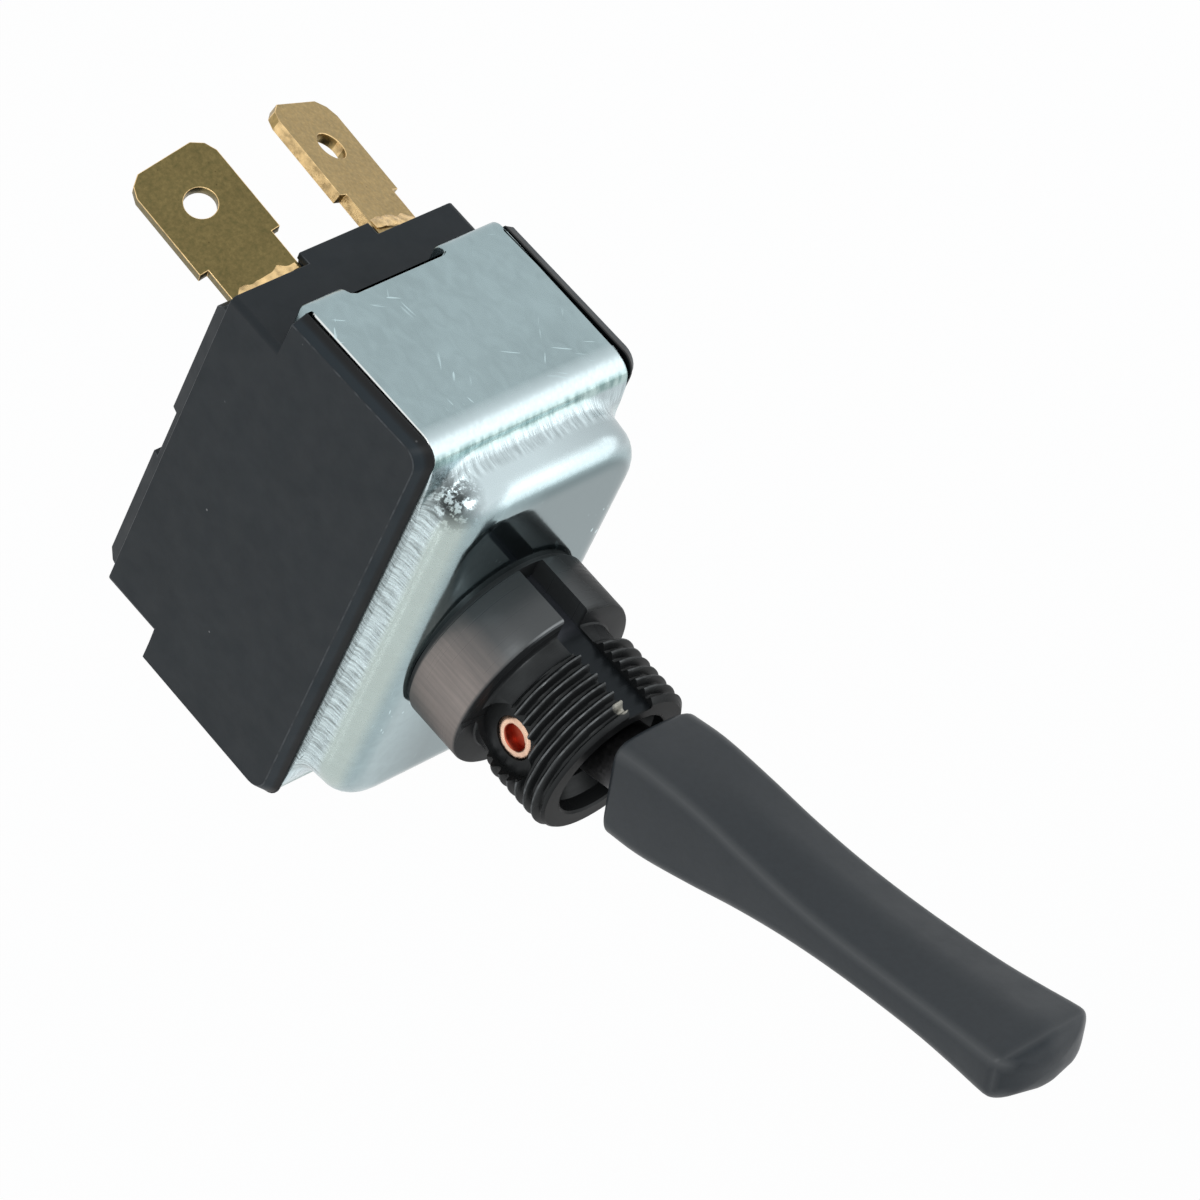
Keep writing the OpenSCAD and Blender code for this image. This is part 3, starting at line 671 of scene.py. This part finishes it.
def pan_spots(count_corner, count_x, count_y, half_x, half_y, radius):
    """Anchor and outward direction of each point round the pan's rounded outline."""
    spots = []
    cx, cy = half_x - radius, half_y - radius
    for quarter, (sx, sy) in enumerate(((1, 1), (-1, 1), (-1, -1), (1, -1))):
        start = quarter * math.pi / 2
        here = Vector((sx * cx, sy * cy))
        for i in range(count_corner + 1):
            a = start + i / count_corner * math.pi / 2
            spots.append((here, Vector((math.cos(a), math.sin(a)))))
        end = Vector((math.cos(start + math.pi / 2), math.sin(start + math.pi / 2)))
        along_x = quarter % 2 == 0
        there = Vector((-sx * cx, sy * cy)) if along_x else Vector((sx * cx, -sy * cy))
        number = count_x if along_x else count_y
        for i in range(1, number):
            spots.append((here.lerp(there, i / number), end))
    return spots


class SWITCH_OT_bracket(bpy.types.Operator):
    """Drawn and folded sheet-steel bracket with its four ears."""
    bl_idname = "switch.bracket"
    bl_label = "Bracket"

    HOLE = 5.3  # radius round the bushing
    HALF_X, HALF_Y, PLAN_R = 8.18, 15.1, 4.25  # the pan's outline
    FILLET = 0.75  # foot of the pan's wall
    SIDE, REACH = 8.43, 17.05  # half width and half length of the sheet
    SHOULDER, LIP = 3.6, 16.33  # depth of the shoulder and of the flanges' edge
    DIP, CREASE = 0.38, 16.0  # the shoulder sinks towards the bend
    DIP_START, DIP_SPAN = 14.6, 1.2
    EAR_LEFT, EAR_RIGHT, EAR_OUTER, EAR_FILLET = 5.0, 3.2, 8.1, 0.5
    EAR_DEPTH, EAR_TIP, EAR_BEND = 17.42, 14.65, 0.9
    TRIM_LEFT, TRIM_RIGHT, TRIM_START, TRIM_SPAN = 0.12, 0.3, 4.0, 1.2
    EASE = 0.10

    def execute(self, context):
        sizes, looks = context.scene.switch_sizes, context.scene.switch_finishes
        bm = self.surface(sizes.pan_radius / MM)
        for side in (-1, 1):
            self.fold(bm, side, sizes.bend_radius / MM)
        bmesh.ops.recalc_face_normals(bm, faces=bm.faces)
        if sum(f.normal.z * f.calc_area() for f in bm.faces) < 0:
            bmesh.ops.reverse_faces(bm, faces=bm.faces)
        sheet = loose_object("sheet", bm)
        thick = sheet.modifiers.new("thickness", "SOLIDIFY")
        thick.thickness = sizes.sheet
        thick.offset = -1.0
        thick.use_even_offset = True
        bm = worked(sheet)
        self.shear_sides(bm)
        ease_edges(bm, self.EASE * MM, 50.0)
        keep_within(bm, "bracket")
        finish = zinc_plate("zinc_plating", looks.zinc, looks.burnish_and_highlight, looks.sheared_and_highlight)
        finish_piece("bracket_sheet", bm, (finish,), "housing", "bracket", 50.0, weigh=True)
        return {"FINISHED"}

    def surface(self, radius):
        """The sheet's outer face from the hole over the pan to the shoulder, ring by ring."""
        spots = pan_spots(14, 10, 24, self.HALF_X, self.HALF_Y, self.PLAN_R)
        rings = [([(at + out * self.PLAN_R).normalized() * self.HOLE for at, out in spots], 0.0)]
        for offset, height in self.pan_levels(radius):
            rings.append(([at + out * (self.PLAN_R + offset) for at, out in spots], height))
        wide, beyond = 10.0, self.PLAN_R + 4.0
        rings.append(([self.boxed(at + out * beyond, wide, self.CREASE) for at, out in spots],
                      -self.SHOULDER))
        bm = bmesh.new()
        bmesh.ops.create_circle(bm, segments=len(spots), radius=1.0)
        line = list(bm.verts)
        for i, (outline, height) in enumerate(rings):
            if i:
                line = next_ring(bm, line)
            for vert, spot in zip(line, outline):
                vert.co = Vector((*spot, height)) * MM
        bmesh.ops.remove_doubles(bm, verts=bm.verts, dist=1e-6)
        for v in bm.verts:
            toward_end = portion(abs(v.co.y) / MM, self.DIP_START, self.DIP_SPAN)
            v.co.z -= self.DIP * MM * toward_end * (v.co.z / MM / self.SHOULDER) ** 2
        return bm

    def pan_levels(self, radius):
        """Offset from the pan's outline and height, from the flat top to the shoulder."""
        levels = [(-radius - 0.5, 0.0)]
        for i in range(9):
            a = math.pi / 2 * i / 8
            levels.append((-radius + radius * math.sin(a), -radius + radius * math.cos(a)))
        for i in range(7):
            a = math.pi / 2 * i / 6
            levels.append((self.FILLET - self.FILLET * math.cos(a) + 0.08,
                           -self.SHOULDER + self.FILLET - self.FILLET * math.sin(a)))
        return levels

    def boxed(self, spot, half_x, half_y):
        return max(-half_x, min(half_x, spot.x)), max(-half_y, min(half_y, spot.y))

    def in_ear(self, x):
        fillet = self.EAR_FILLET
        return self.EAR_RIGHT - fillet < x < self.EAR_OUTER or -self.EAR_OUTER < x < fillet - self.EAR_LEFT

    def fold(self, bm, side, bend):
        """Folds one end down into a flange, and its two ears over the case's shoulder."""
        line = [e for e in bm.edges if e.is_boundary
                and all(abs(v.co.y - side * self.CREASE * MM) < 1e-7 for v in e.verts)]
        begin = math.asin((self.CREASE - self.REACH + bend) / bend)
        centre_z = -self.SHOULDER - self.DIP - bend * math.cos(begin)
        for i in range(1, 11):
            a = begin + (math.pi / 2 - begin) * i / 10
            line = self.carry(bm, line, y=side * (self.REACH - bend + bend * math.sin(a)),
                              z=centre_z + bend * math.cos(a))
        for depth in (7.5, 10.0, 13.0, self.LIP):
            line = self.carry(bm, line, z=-depth)
        for place in (self.EAR_FILLET - self.EAR_LEFT, self.EAR_RIGHT - self.EAR_FILLET,
                      self.EAR_OUTER, -self.EAR_OUTER):
            faces = [f for f in bm.faces if f.calc_center_median().z < -self.SHOULDER * MM * 1.2
                     and f.calc_center_median().y * side > 0]
            verts = dict.fromkeys(v for f in faces for v in f.verts)
            edges = dict.fromkeys(e for f in faces for e in f.edges)
            bmesh.ops.bisect_plane(bm, geom=[*verts, *edges, *faces], plane_co=(place * MM, 0, 0),
                                   plane_no=(1, 0, 0))
        lip = [v for v in bm.verts if abs(v.co.z + self.LIP * MM) < 1e-7 and v.co.y * side > 0]
        line = [e for e in bm.edges if e.is_boundary and all(v in lip for v in e.verts)
                and self.in_ear((e.verts[0].co.x + e.verts[1].co.x) / 2 / MM)]
        for v in lip:
            v.co.z += max(0.0, abs(v.co.x) / MM - self.EAR_OUTER) * 0.7 * MM
        tongue = self.EAR_BEND
        drop_start = self.EAR_DEPTH - tongue - self.LIP
        line = self.carry(bm, line, z=-(self.EAR_DEPTH - tongue), drop=drop_start)
        for i in range(1, 8):
            a = math.pi / 2 * i / 7
            line = self.carry(bm, line, y=side * (self.REACH - tongue + tongue * math.cos(a)),
                              z=-self.EAR_DEPTH + tongue - tongue * math.sin(a), drop=drop_start + tongue * a)
        self.carry(bm, line, y=side * self.EAR_TIP)
        crowded = [v for v in bm.verts if v.co.y * side > 0 and v.co.z < -(self.LIP + 0.05) * MM]
        bmesh.ops.remove_doubles(bm, verts=crowded, dist=0.03 * MM)

    def carry(self, bm, line, y=None, z=None, drop=None):
        """Extrudes a line of edges to a new place, narrowed along the ears' fillets on their drop."""
        verts, line = extrude_rim(bm, line)
        for v in verts:
            if y is not None:
                v.co.y = y * MM
            if z is not None:
                v.co.z = z * MM
            if drop is not None:
                self.narrow(v, drop)
        return line

    def narrow(self, v, drop):
        """Draws an ear's inner side along its fillet, at a length beyond the flange's edge."""
        r = self.EAR_FILLET
        draw = r - math.sqrt(r * r - max(0.0, r - drop) ** 2)
        if v.co.x < 0:
            v.co.x = min(v.co.x, (draw - self.EAR_LEFT) * MM)
        else:
            v.co.x = max(v.co.x, (self.EAR_RIGHT - draw) * MM)

    def shear_sides(self, bm):
        """Cuts the sheet to its width, and draws the flanges' side edges in a little."""
        for side in (-1, 1):
            cutline = bmesh.ops.bisect_plane(bm, geom=bm.verts[:] + bm.edges[:] + bm.faces[:],
                                             plane_co=(side * self.SIDE * MM, 0, 0),
                                             plane_no=(side, 0, 0), clear_outer=True)["geom_cut"]
            open_edges = [e for e in cutline if isinstance(e, bmesh.types.BMEdge) and e.is_boundary]
            bmesh.ops.holes_fill(bm, edges=open_edges, sides=0)
        near_side = 8.2 * MM
        for v in bm.verts:
            below = portion(-v.co.z / MM, self.TRIM_START, self.TRIM_SPAN)
            if v.co.x > near_side:
                v.co.x -= self.TRIM_RIGHT * MM * below
            elif v.co.x < -near_side:
                v.co.x += self.TRIM_LEFT * MM * below


# ---------------------------------------------------------------- bushing

class SWITCH_OT_bushing(bpy.types.Operator):
    """Turned bushing with its real thread, keyway and cross hole."""
    bl_idname = "switch.bushing"
    bl_label = "Bushing"

    START, END, ROWS = 6.45, 11.95, 92  # threaded length, and the rows of points along it
    GROOVE, FLANK = 0.22, 0.62  # width of the groove's floor and of its flanks, as shares of the pitch
    BELOW = [(5.55, -1.5), (5.75, -1.3), (5.72, -1.15), (5.25, -0.8), (5.25, 0.0)]
    COLLAR = [(6.6, 0.0), (6.62, 0.32), (6.9, 0.46), (6.925, 0.52), (6.925, 4.72), (6.87, 4.86),
              (6.74, 4.92), (5.45, 4.92)]
    NECK = [(5.32, 5.0), (5.3, 5.1), (5.3, 6.2), (5.36, 6.38)]
    BELL = [(4.35, END), (4.18, 11.82), (4.15, 11.6), (4.15, 10.9), (3.5, 9.9), (3.5, 5.2),
            (4.65, 1.2), (4.65, -1.45), (4.72, -1.5)]
    KEY_FLOOR, KEY_START = 5.05, 0.3
    RIVET_R, RECESS_R, RECESS_FLOOR = 1.5, 2.5, 4.55
    CLEAR, ABOVE = 9, 13  # beyond the bushing's side and its end

    def thread_radius(self, angle, z, crest, depth):
        """Radius of the threaded length at an angle and a height, in millimetres."""
        phase = ((z - 6.75) / PITCH - angle / (2 * math.pi)) % 1.0
        rise = portion(abs(phase - 0.5) * 2, self.GROOVE, self.FLANK)
        chamfer = crest - max(0.0, z - 11.5)
        run_out = crest - 0.4 + max(0.0, z - self.START) * 1.6
        return min(crest - depth * (1.0 - rise), chamfer, run_out)

    def execute(self, context):
        sizes, looks = context.scene.switch_sizes, context.scene.switch_finishes
        crest = sizes.thread_radius / MM
        length = self.END - self.START
        threads = [(crest, self.START + length * i / self.ROWS) for i in range(self.ROWS + 1)]
        bm = spin_profile(self.BELOW + self.COLLAR + self.NECK + threads + self.BELL, sizes.turns)
        for v in bm.verts:
            z = v.co.z / MM
            r = math.hypot(v.co.x, v.co.y) / MM
            if self.START - 1e-4 < z < self.END + 1e-4 and r > crest - 0.01:
                angle = math.atan2(v.co.y, v.co.x)
                wanted = self.thread_radius(angle, z, crest, sizes.thread_depth / MM)
                v.co.x *= wanted / r
                v.co.y *= wanted / r
        half = sizes.keyway_width / MM / 2
        key = box_mesh((-half, self.KEY_FLOOR, self.KEY_START), (half, self.CLEAR, self.ABOVE))
        hole = rod_across(self.RIVET_R, -self.CLEAR, self.CLEAR)
        left = rod_across(self.RECESS_R, -self.CLEAR, -self.RECESS_FLOOR)
        right = rod_across(self.RECESS_R, self.RECESS_FLOOR, self.CLEAR)
        bm = cut(bm, key, hole, left, right)
        finish = black_turned("blackened_metal", looks.bushing, looks.tone_patch)
        finish_piece("bushing_turned", bm, (finish,), "housing", "bushing", 30.0)
        return {"FINISHED"}


class SWITCH_OT_rivet(bpy.types.Operator):
    """Tubular pivot rivet with rolled ends."""
    bl_idname = "switch.rivet"
    bl_label = "Pivot Rivet"

    BORE, OUTSIDE = 0.83, 1.5
    FLOOR, ROLL = 3.85, 4.35  # where the bore ends and where the rolled end begins
    ROLLED = [(0.86, 4.4), (0.94, 4.51), (1.1, 4.55), (1.3, 4.53), (1.44, 4.44), (OUTSIDE, 4.3)]

    def execute(self, context):
        looks = context.scene.switch_finishes
        half = [(0.0, self.FLOOR), (self.BORE, self.FLOOR)] + self.ROLLED
        bm = spin_profile([(r, -x) for r, x in half] + half[::-1], 48, axis="X")
        # the bore's faces take a redder, darker copper: painted light bouncing inside the bore, and painted
        # shade
        for face in bm.faces:
            middle = face.calc_center_median()
            if math.hypot(middle.y, middle.z) < 0.9 * MM:
                face.material_index = 1
        for v in bm.verts:
            r = math.hypot(v.co.y, v.co.z) / MM
            if 0.5 < r < 1.45 and abs(v.co.x) > self.ROLL * MM:
                v.co.x += 0.05 * MM * noise.noise(v.co * 1100)
                stir = 1.0 + 0.035 * noise.noise(v.co * 900 + Vector((3, 1, 2)))
                v.co.y *= stir
                v.co.z *= stir
        bm.transform(Matrix.Translation(PIVOT))
        finishes = (plain_metal("bare_copper", looks.copper, 0.28),
                    plain_metal("copper_bore_painted_light", looks.bore_copper_light, 0.4))
        finish_piece("pivot_rivet_tube", bm, finishes, "housing", "pivot_rivet", 40.0)
        return {"FINISHED"}


# ---------------------------------------------------------------- lever

class SWITCH_OT_lever(bpy.types.Operator):
    """Bat-shaped handle with crowned faces, and the shank below it."""
    bl_idname = "switch.lever"
    bl_label = "Lever"

    # half widths, half thicknesses, share of the crown and corner radii at distances from the pivot
    WIDTH = [(6.7, 3.55), (10, 3.54), (14, 3.42), (18, 3.40), (22, 3.48), (26, 3.56), (30, 3.64),
             (34, 3.78), (37, 4.00), (39, 4.20), (41, 4.34)]
    THICK = [(6.7, 3.42), (10, 3.38), (14, 2.88), (18, 2.15), (22, 1.58), (26, 1.29), (30, 1.22),
             (34, 1.27), (37, 1.40), (39, 1.52), (41, 1.62)]
    RISE = [(6.7, 0.05), (10, 0.06), (14, 0.35), (18, 0.8), (22, 1.0), (41, 1.0)]
    SOFT = [(6.7, 1.3), (8.0, 1.25), (10, 1.1), (13, 0.95), (17, 0.85), (36, 0.85), (39.6, 0.95),
            (41, 1.0)]
    RIDGE_SOFT = 0.9  # the same along the crown's ridge
    STEPS = 8  # steps round each corner
    BASE, BASE_ROUND = 6.72, 0.6
    DOME_START, DOME, DOME_DROP = 39.65, 1.85, 0.80
    DOME_SHARES = (0.995, 0.98, 0.955, 0.92, 0.87, 0.80, 0.70, 0.58, 0.42, 0.24, 0.10)
    HOLLOW, HOLLOW_END = 0.25, 9.0  # the base bows up this far at its sides
    # grey of the painted highlight along the lever's edges
    HIGHLIGHT_GREY = (0.150, 0.155, 0.157)

    def outline(self, s, sizes, inset=0.0):
        """Points round the handle's section at a distance from the pivot."""
        a = smoothly(self.WIDTH, s) - inset
        b = smoothly(self.THICK, s) - inset
        k = smoothly(self.RISE, s) * sizes.crown / MM
        soft = smoothly(self.SOFT, s)
        corners = [(a, -b), (a, b), (0.0, b + k), (-a, b), (-a, -b), (0.0, -b - k)]
        points = []
        for i, corner in enumerate(corners):
            here = Vector(corner)
            back = Vector(corners[i - 1]) - here
            on = Vector(corners[(i + 1) % 6]) - here
            wanted = self.RIDGE_SOFT if i in (2, 5) else soft
            reach = min(wanted, back.length * 0.45, on.length * 0.45)
            first, last = here + back.normalized() * reach, here + on.normalized() * reach
            for j in range(self.STEPS + 1):
                t = j / self.STEPS
                points.append(first * (1 - t) ** 2 + here * 2 * t * (1 - t) + last * t ** 2)
        return points

    def rings(self):
        """Distance from the pivot, inset of the section and share of the section, ring by ring."""
        base = []
        for i in range(1, 8):
            a = math.pi / 2 * i / 7
            base.append((self.BASE + self.BASE_ROUND * (1 - math.cos(a)),
                         self.BASE_ROUND * (1 - math.sin(a)), 1.0))
        first, last = base[-1][0], self.DOME_START
        middle = [(first + (last - first) * i / 46, 0.0, 1.0) for i in range(1, 47)]
        return base + middle + [(last, 0.0, share) for share in self.DOME_SHARES]

    def edge_highlight_share(self, j, share):
        """Share of the painted highlight at a vertex: most along the corners and round the crown's edge."""
        corner, place = divmod(j, self.STEPS + 1)
        edge = (1 - abs(place - 4) / 4) * (0.12 if corner in (2, 5) else 1.0)
        if share <= 0.9:
            edge *= max(0.0, (share - 0.7) / 0.2)
        tip = 0.6 * max(0.0, 1 - abs(share - 0.955) / 0.06)
        return max(edge, tip) * 0.56

    def rise(self, s, share, across, x):
        """Distance from the pivot of a vertex, with the domed tip and the hollow base."""
        along = s
        if share < 1.0:
            along += (self.DOME - self.DOME_DROP * (x / 4.1) ** 2) * (1 - share ** 3) ** (1 / 3)
        if s < self.HOLLOW_END:
            along += self.HOLLOW * (across / 3.4) ** 2 * (self.HOLLOW_END - s) / 2.2
        return along

    def execute(self, context):
        sizes, looks = context.scene.switch_sizes, context.scene.switch_finishes
        bm = bmesh.new()
        edge_highlight = bm.verts.layers.float.new(EDGE_HIGHLIGHT)
        bmesh.ops.create_circle(bm, segments=len(self.outline(8, sizes)), radius=1.0)
        ring = list(bm.verts)
        for i, (s, inset, share) in enumerate(self.rings()):
            if i:
                ring = next_ring(bm, ring)
            for j, (vert, spot) in enumerate(zip(ring, self.outline(s, sizes, inset))):
                x, y = spot.x * share, spot.y * share
                vert.co = Vector((x, y, self.rise(s, share, spot.x, x))) * MM
                vert[edge_highlight] = self.edge_highlight_share(j, share)
        bmesh.ops.holes_fill(bm, edges=[e for e in bm.edges if e.is_boundary], sides=0)
        bmesh.ops.recalc_face_normals(bm, faces=bm.faces)
        bm.transform(Matrix.Translation(PIVOT) @ Matrix.Rotation(-LEAN, 4, "X"))
        moulding = moulded_black("lever_moulding", looks.lever, 0.40, 0.03, edge_highlight=self.HIGHLIGHT_GREY)
        finish_piece("lever_bat", bm, (moulding,), "lever", "lever_handle", 60.0)
        # the shank is plain steel darkened to a quarter
        dress("lever_shank", plain_metal("darkened_steel", shade(looks.steel, 0.25), 0.35))
        return {"FINISHED"}


# ---------------------------------------------------------------- tabs

class SWITCH_OT_tabs(bpy.types.Operator):
    """Push-on tabs with eased edges, and the staking burrs at their roots."""
    bl_idname = "switch.tabs"
    bl_label = "Tabs"

    ROOTS = {"left": ((-5.07, 11.75), math.radians(16.8)), "right": ((5.46, 12.23), math.radians(-20.2))}
    OLIVE, PALE_OLIVE = (0.105, 0.100, 0.040), (0.270, 0.215, 0.100)
    BURR, BURR_OUT, BURR_Z = (4.6, 0.30, 0.8), 0.40, -22.25

    def execute(self, context):
        sizes, looks = context.scene.switch_sizes, context.scene.switch_finishes
        finishes = {"left": tarnished_brass("dark_brass", looks.brass_dark, self.OLIVE),
                    "right": tarnished_brass("pale_brass", looks.brass_pale, self.PALE_OLIVE)}
        torn = staked_brass("staked_brass", looks.brass_bright)
        for side, finish in finishes.items():
            bm = eased_copy("terminal_" + side, sizes.ease * 0.8)
            if side == "right":
                turn = self.ROOTS[side][1]
                along = Vector((math.cos(turn), math.sin(turn), 0))
                for face in bm.faces:
                    if abs(face.normal.dot(along)) > 0.95:
                        face.material_index = 1
            finish_piece("tab_" + side, bm, (finish, torn), "housing", "terminal_" + side,
                         weigh=True)
        for side, (spot, turn) in self.ROOTS.items():
            burr = self.burr(spot, turn)
            finish_piece("burr_" + side, burr, (torn,), "housing", smooth_angle=60.0)
        return {"FINISHED"}

    def burr(self, spot, turn):
        """Torn ridge of metal along the root of a tab."""
        bm = bmesh.new()
        bmesh.ops.create_cube(bm, size=1.0)
        bmesh.ops.scale(bm, vec=Vector(self.BURR) * MM, verts=bm.verts)
        bmesh.ops.subdivide_edges(bm, edges=bm.edges, cuts=2, use_grid_fill=True)
        long = [e for e in bm.edges if abs(e.verts[0].co.x - e.verts[1].co.x) > 1 * MM]
        bmesh.ops.subdivide_edges(bm, edges=long, cuts=9, use_grid_fill=True)
        for v in bm.verts:
            place = v.co * 900 + Vector((spot[0], 0, 0))
            lift = 0.5 + 0.5 * noise.noise(Vector((place.x * 1.2, 3.1, 0.4)))
            if v.co.z < -0.3 * MM:
                v.co.z -= 0.45 * MM * lift
                v.co.y -= 0.10 * MM
            v.co.y += 0.16 * MM * noise.noise(place * 1.3)
            v.co.z += 0.10 * MM * noise.noise(place * 2.3)
        bmesh.ops.smooth_vert(bm, verts=bm.verts, factor=0.4, use_axis_x=False, use_axis_y=True,
                              use_axis_z=True)
        bm.transform(Matrix.Translation(Vector((0, self.BURR_OUT, self.BURR_Z)) * MM))
        bm.transform(Matrix.Translation(Vector((*spot, 0)) * MM) @ Matrix.Rotation(turn, 4, "Z"))
        return bm


# ---------------------------------------------------------------- inner pieces

def dress(node, material):
    """Gives a node's solid its finish."""
    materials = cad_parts[node].data.materials
    materials.clear()
    materials.append(material)


class SWITCH_OT_inner(bpy.types.Operator):
    """Finishes of the working pieces inside the case."""
    bl_idname = "switch.inner"
    bl_label = "Inner Pieces"

    def execute(self, context):
        looks = context.scene.switch_finishes
        finishes = (
            (plain_metal("plain_steel", looks.steel, 0.32), ("rocker_axle", "plunger_spring")),
            (plain_metal("contact_silver", looks.silver, 0.25),
             [kind + side for kind in ("fixed_contact_", "moving_contact_") for side in ("left", "right")]),
            (plain_metal("spring_copper", looks.copper, 0.3), ("bridge_blade",)),
            (plain_metal("turned_brass", looks.brass_pale, 0.3), ("bridge_rivet", "plunger")),
            (pressed_sheet("fibre_sheet", looks.fibre), ("insulator",)),
            (pressed_sheet("brown_moulding", looks.moulding), ("rocker",)),
        )
        for finish, names in finishes:
            for name in names:
                dress(name, finish)
        return {"FINISHED"}


# ---------------------------------------------------------------- stage

def background_rays(tree):
    """1 for rays that show the background: from the camera, in metal and through glass."""
    path = tree.nodes.new("ShaderNodeLightPath")
    total = path.outputs["Is Camera Ray"]
    for name in ("Is Glossy Ray", "Is Transmission Ray"):
        most = tree.nodes.new("ShaderNodeMath")
        most.operation = "MAXIMUM"
        tree.links.new(total, most.inputs[0])
        tree.links.new(path.outputs[name], most.inputs[1])
        total = most.outputs["Value"]
    return total


class SWITCH_OT_stage(bpy.types.Operator):
    """Pale floor, soft lamps and the camera."""
    bl_idname = "switch.stage"
    bl_label = "Stage"

    RIGHT, BACK = (0.7031, 0.3222, 0.6339), (-0.6223, 0.7101, 0.3293)  # the camera's directions
    PLACE, LENS = (-288.97, 339.18, 158.79), 227.9
    LOW, HIGH = (0.40, 0.42, 0.44, 1), (0.50, 0.52, 0.55, 1)  # the room's light from below and above
    GLOW, GLOW_SHARE = 1.02, 0.93

    def execute(self, context):
        scene = context.scene
        right, back = Vector(self.RIGHT).normalized(), Vector(self.BACK).normalized()
        up = back.cross(right).normalized()
        right = up.cross(back).normalized()
        data = bpy.data.cameras.new("view")
        data.lens = self.LENS
        data.sensor_width = 36.0
        data.clip_start, data.clip_end = 0.01, 10.0
        camera = bpy.data.objects.new("view", data)
        scene.collection.objects.link(camera)
        turn = Matrix((right, up, back)).transposed().to_4x4()
        camera.matrix_world = Matrix.Translation(Vector(self.PLACE) * MM) @ turn
        scene.camera = camera

        bm = bmesh.new()
        bmesh.ops.create_grid(bm, x_segments=1, y_segments=1, size=3.0)
        bmesh.ops.translate(bm, vec=(0, 0, CAD_BOX[0][2] - 0.03), verts=bm.verts)
        floor = loose_object("floor", bm)
        floor.data.materials.append(self.paper())

        scene.world = self.room()
        self.lamp("right", right * 0.62 + up * 0.04 + back * 0.04, (0.40, 0.70), 0.92)
        self.lamp("left", -right * 0.55 - up * 0.18 + back * 0.08, (0.45, 0.32), 1.0)
        self.lamp("front", back * 0.60 + up * 0.10 - right * 0.06, (0.16, 0.16), 0.55)
        scene.view_settings.view_transform = "Standard"
        return {"FINISHED"}

    def lamp(self, name, spot, size, watts):
        """A rectangular lamp that faces the origin."""
        data = bpy.data.lights.new(name, "AREA")
        data.shape = "RECTANGLE"
        data.size, data.size_y = size
        data.energy = watts
        made = bpy.data.objects.new(name, data)
        bpy.context.scene.collection.objects.link(made)
        made.location = spot
        made.rotation_euler = spot.to_track_quat("Z", "Y").to_euler()

    def room(self):
        """Even grey light, a little paler from above, that shows as white."""
        world = bpy.data.worlds.new("room")
        world.use_nodes = True
        tree = world.node_tree
        tree.nodes.clear()
        coords = tree.nodes.new("ShaderNodeTexCoord")
        split = tree.nodes.new("ShaderNodeSeparateXYZ")
        ramp = tree.nodes.new("ShaderNodeValToRGB")
        for stop, at, tone in zip(ramp.color_ramp.elements, (0.0, 1.0), (self.LOW, self.HIGH)):
            stop.position = at
            stop.color = tone
        soft = tree.nodes.new("ShaderNodeBackground")
        white = tree.nodes.new("ShaderNodeBackground")
        white.inputs["Color"].default_value = (1, 1, 1, 1)
        mix = tree.nodes.new("ShaderNodeMixShader")
        out = tree.nodes.new("ShaderNodeOutputWorld")
        for source, target in ((coords.outputs["Generated"], split.inputs["Vector"]),
                               (split.outputs["Z"], ramp.inputs["Fac"]),
                               (ramp.outputs["Color"], soft.inputs["Color"]),
                               (background_rays(tree), mix.inputs["Fac"]),
                               (soft.outputs["Background"], mix.inputs[1]),
                               (white.outputs["Background"], mix.inputs[2]),
                               (mix.outputs["Shader"], out.inputs["Surface"])):
            tree.links.new(source, target)
        return world

    def paper(self):
        """Matte white that shows as the background and keeps a part of its shading."""
        s = Shader("pale_floor", (0.9, 0.9, 0.9), 0.0, 0.9)
        glow = s.node("ShaderNodeEmission")
        glow.inputs["Color"].default_value = (1, 1, 1, 1)
        glow.inputs["Strength"].default_value = self.GLOW
        mix = s.node("ShaderNodeMixShader")
        s.link(s.both(background_rays(s.tree), self.GLOW_SHARE), mix.inputs["Fac"])
        s.link(s.bsdf.outputs["BSDF"], mix.inputs[1])
        s.link(glow.outputs["Emission"], mix.inputs[2])
        out = next(n for n in s.tree.nodes if n.type == "OUTPUT_MATERIAL")
        s.link(mix.outputs["Shader"], out.inputs["Surface"])
        return s.mat


class SWITCH_PT_panel(bpy.types.Panel):
    """Lists the switch's pieces."""
    bl_idname = "SWITCH_PT_panel"
    bl_label = "Toggle Switch"
    bl_space_type = "VIEW_3D"
    bl_region_type = "UI"
    bl_category = "Switch"

    def draw(self, context):
        layout = self.layout
        for operator in PIECES:
            layout.operator(operator.bl_idname)
        for group in (context.scene.switch_sizes, context.scene.switch_finishes):
            box = layout.box()
            for name in group.__annotations__:
                box.prop(group, name)


PIECES = (SWITCH_OT_case, SWITCH_OT_bracket, SWITCH_OT_bushing, SWITCH_OT_rivet, SWITCH_OT_lever,
          SWITCH_OT_tabs, SWITCH_OT_inner, SWITCH_OT_stage)
CLASSES = (SwitchSizes, SwitchFinishes) + PIECES + (SWITCH_PT_panel,)


def register():
    for cls in CLASSES:
        bpy.utils.register_class(cls)
    bpy.types.Scene.switch_sizes = PointerProperty(type=SwitchSizes)
    bpy.types.Scene.switch_finishes = PointerProperty(type=SwitchFinishes)


def unregister():
    del bpy.types.Scene.switch_finishes
    del bpy.types.Scene.switch_sizes
    for cls in reversed(CLASSES):
        bpy.utils.unregister_class(cls)


def main():
    register()
    bpy.ops.switch.case()
    bpy.ops.switch.bracket()
    bpy.ops.switch.bushing()
    bpy.ops.switch.rivet()
    bpy.ops.switch.lever()
    bpy.ops.switch.tabs()
    bpy.ops.switch.inner()
    bpy.ops.switch.stage()


if __name__ == "__main__":
    main()
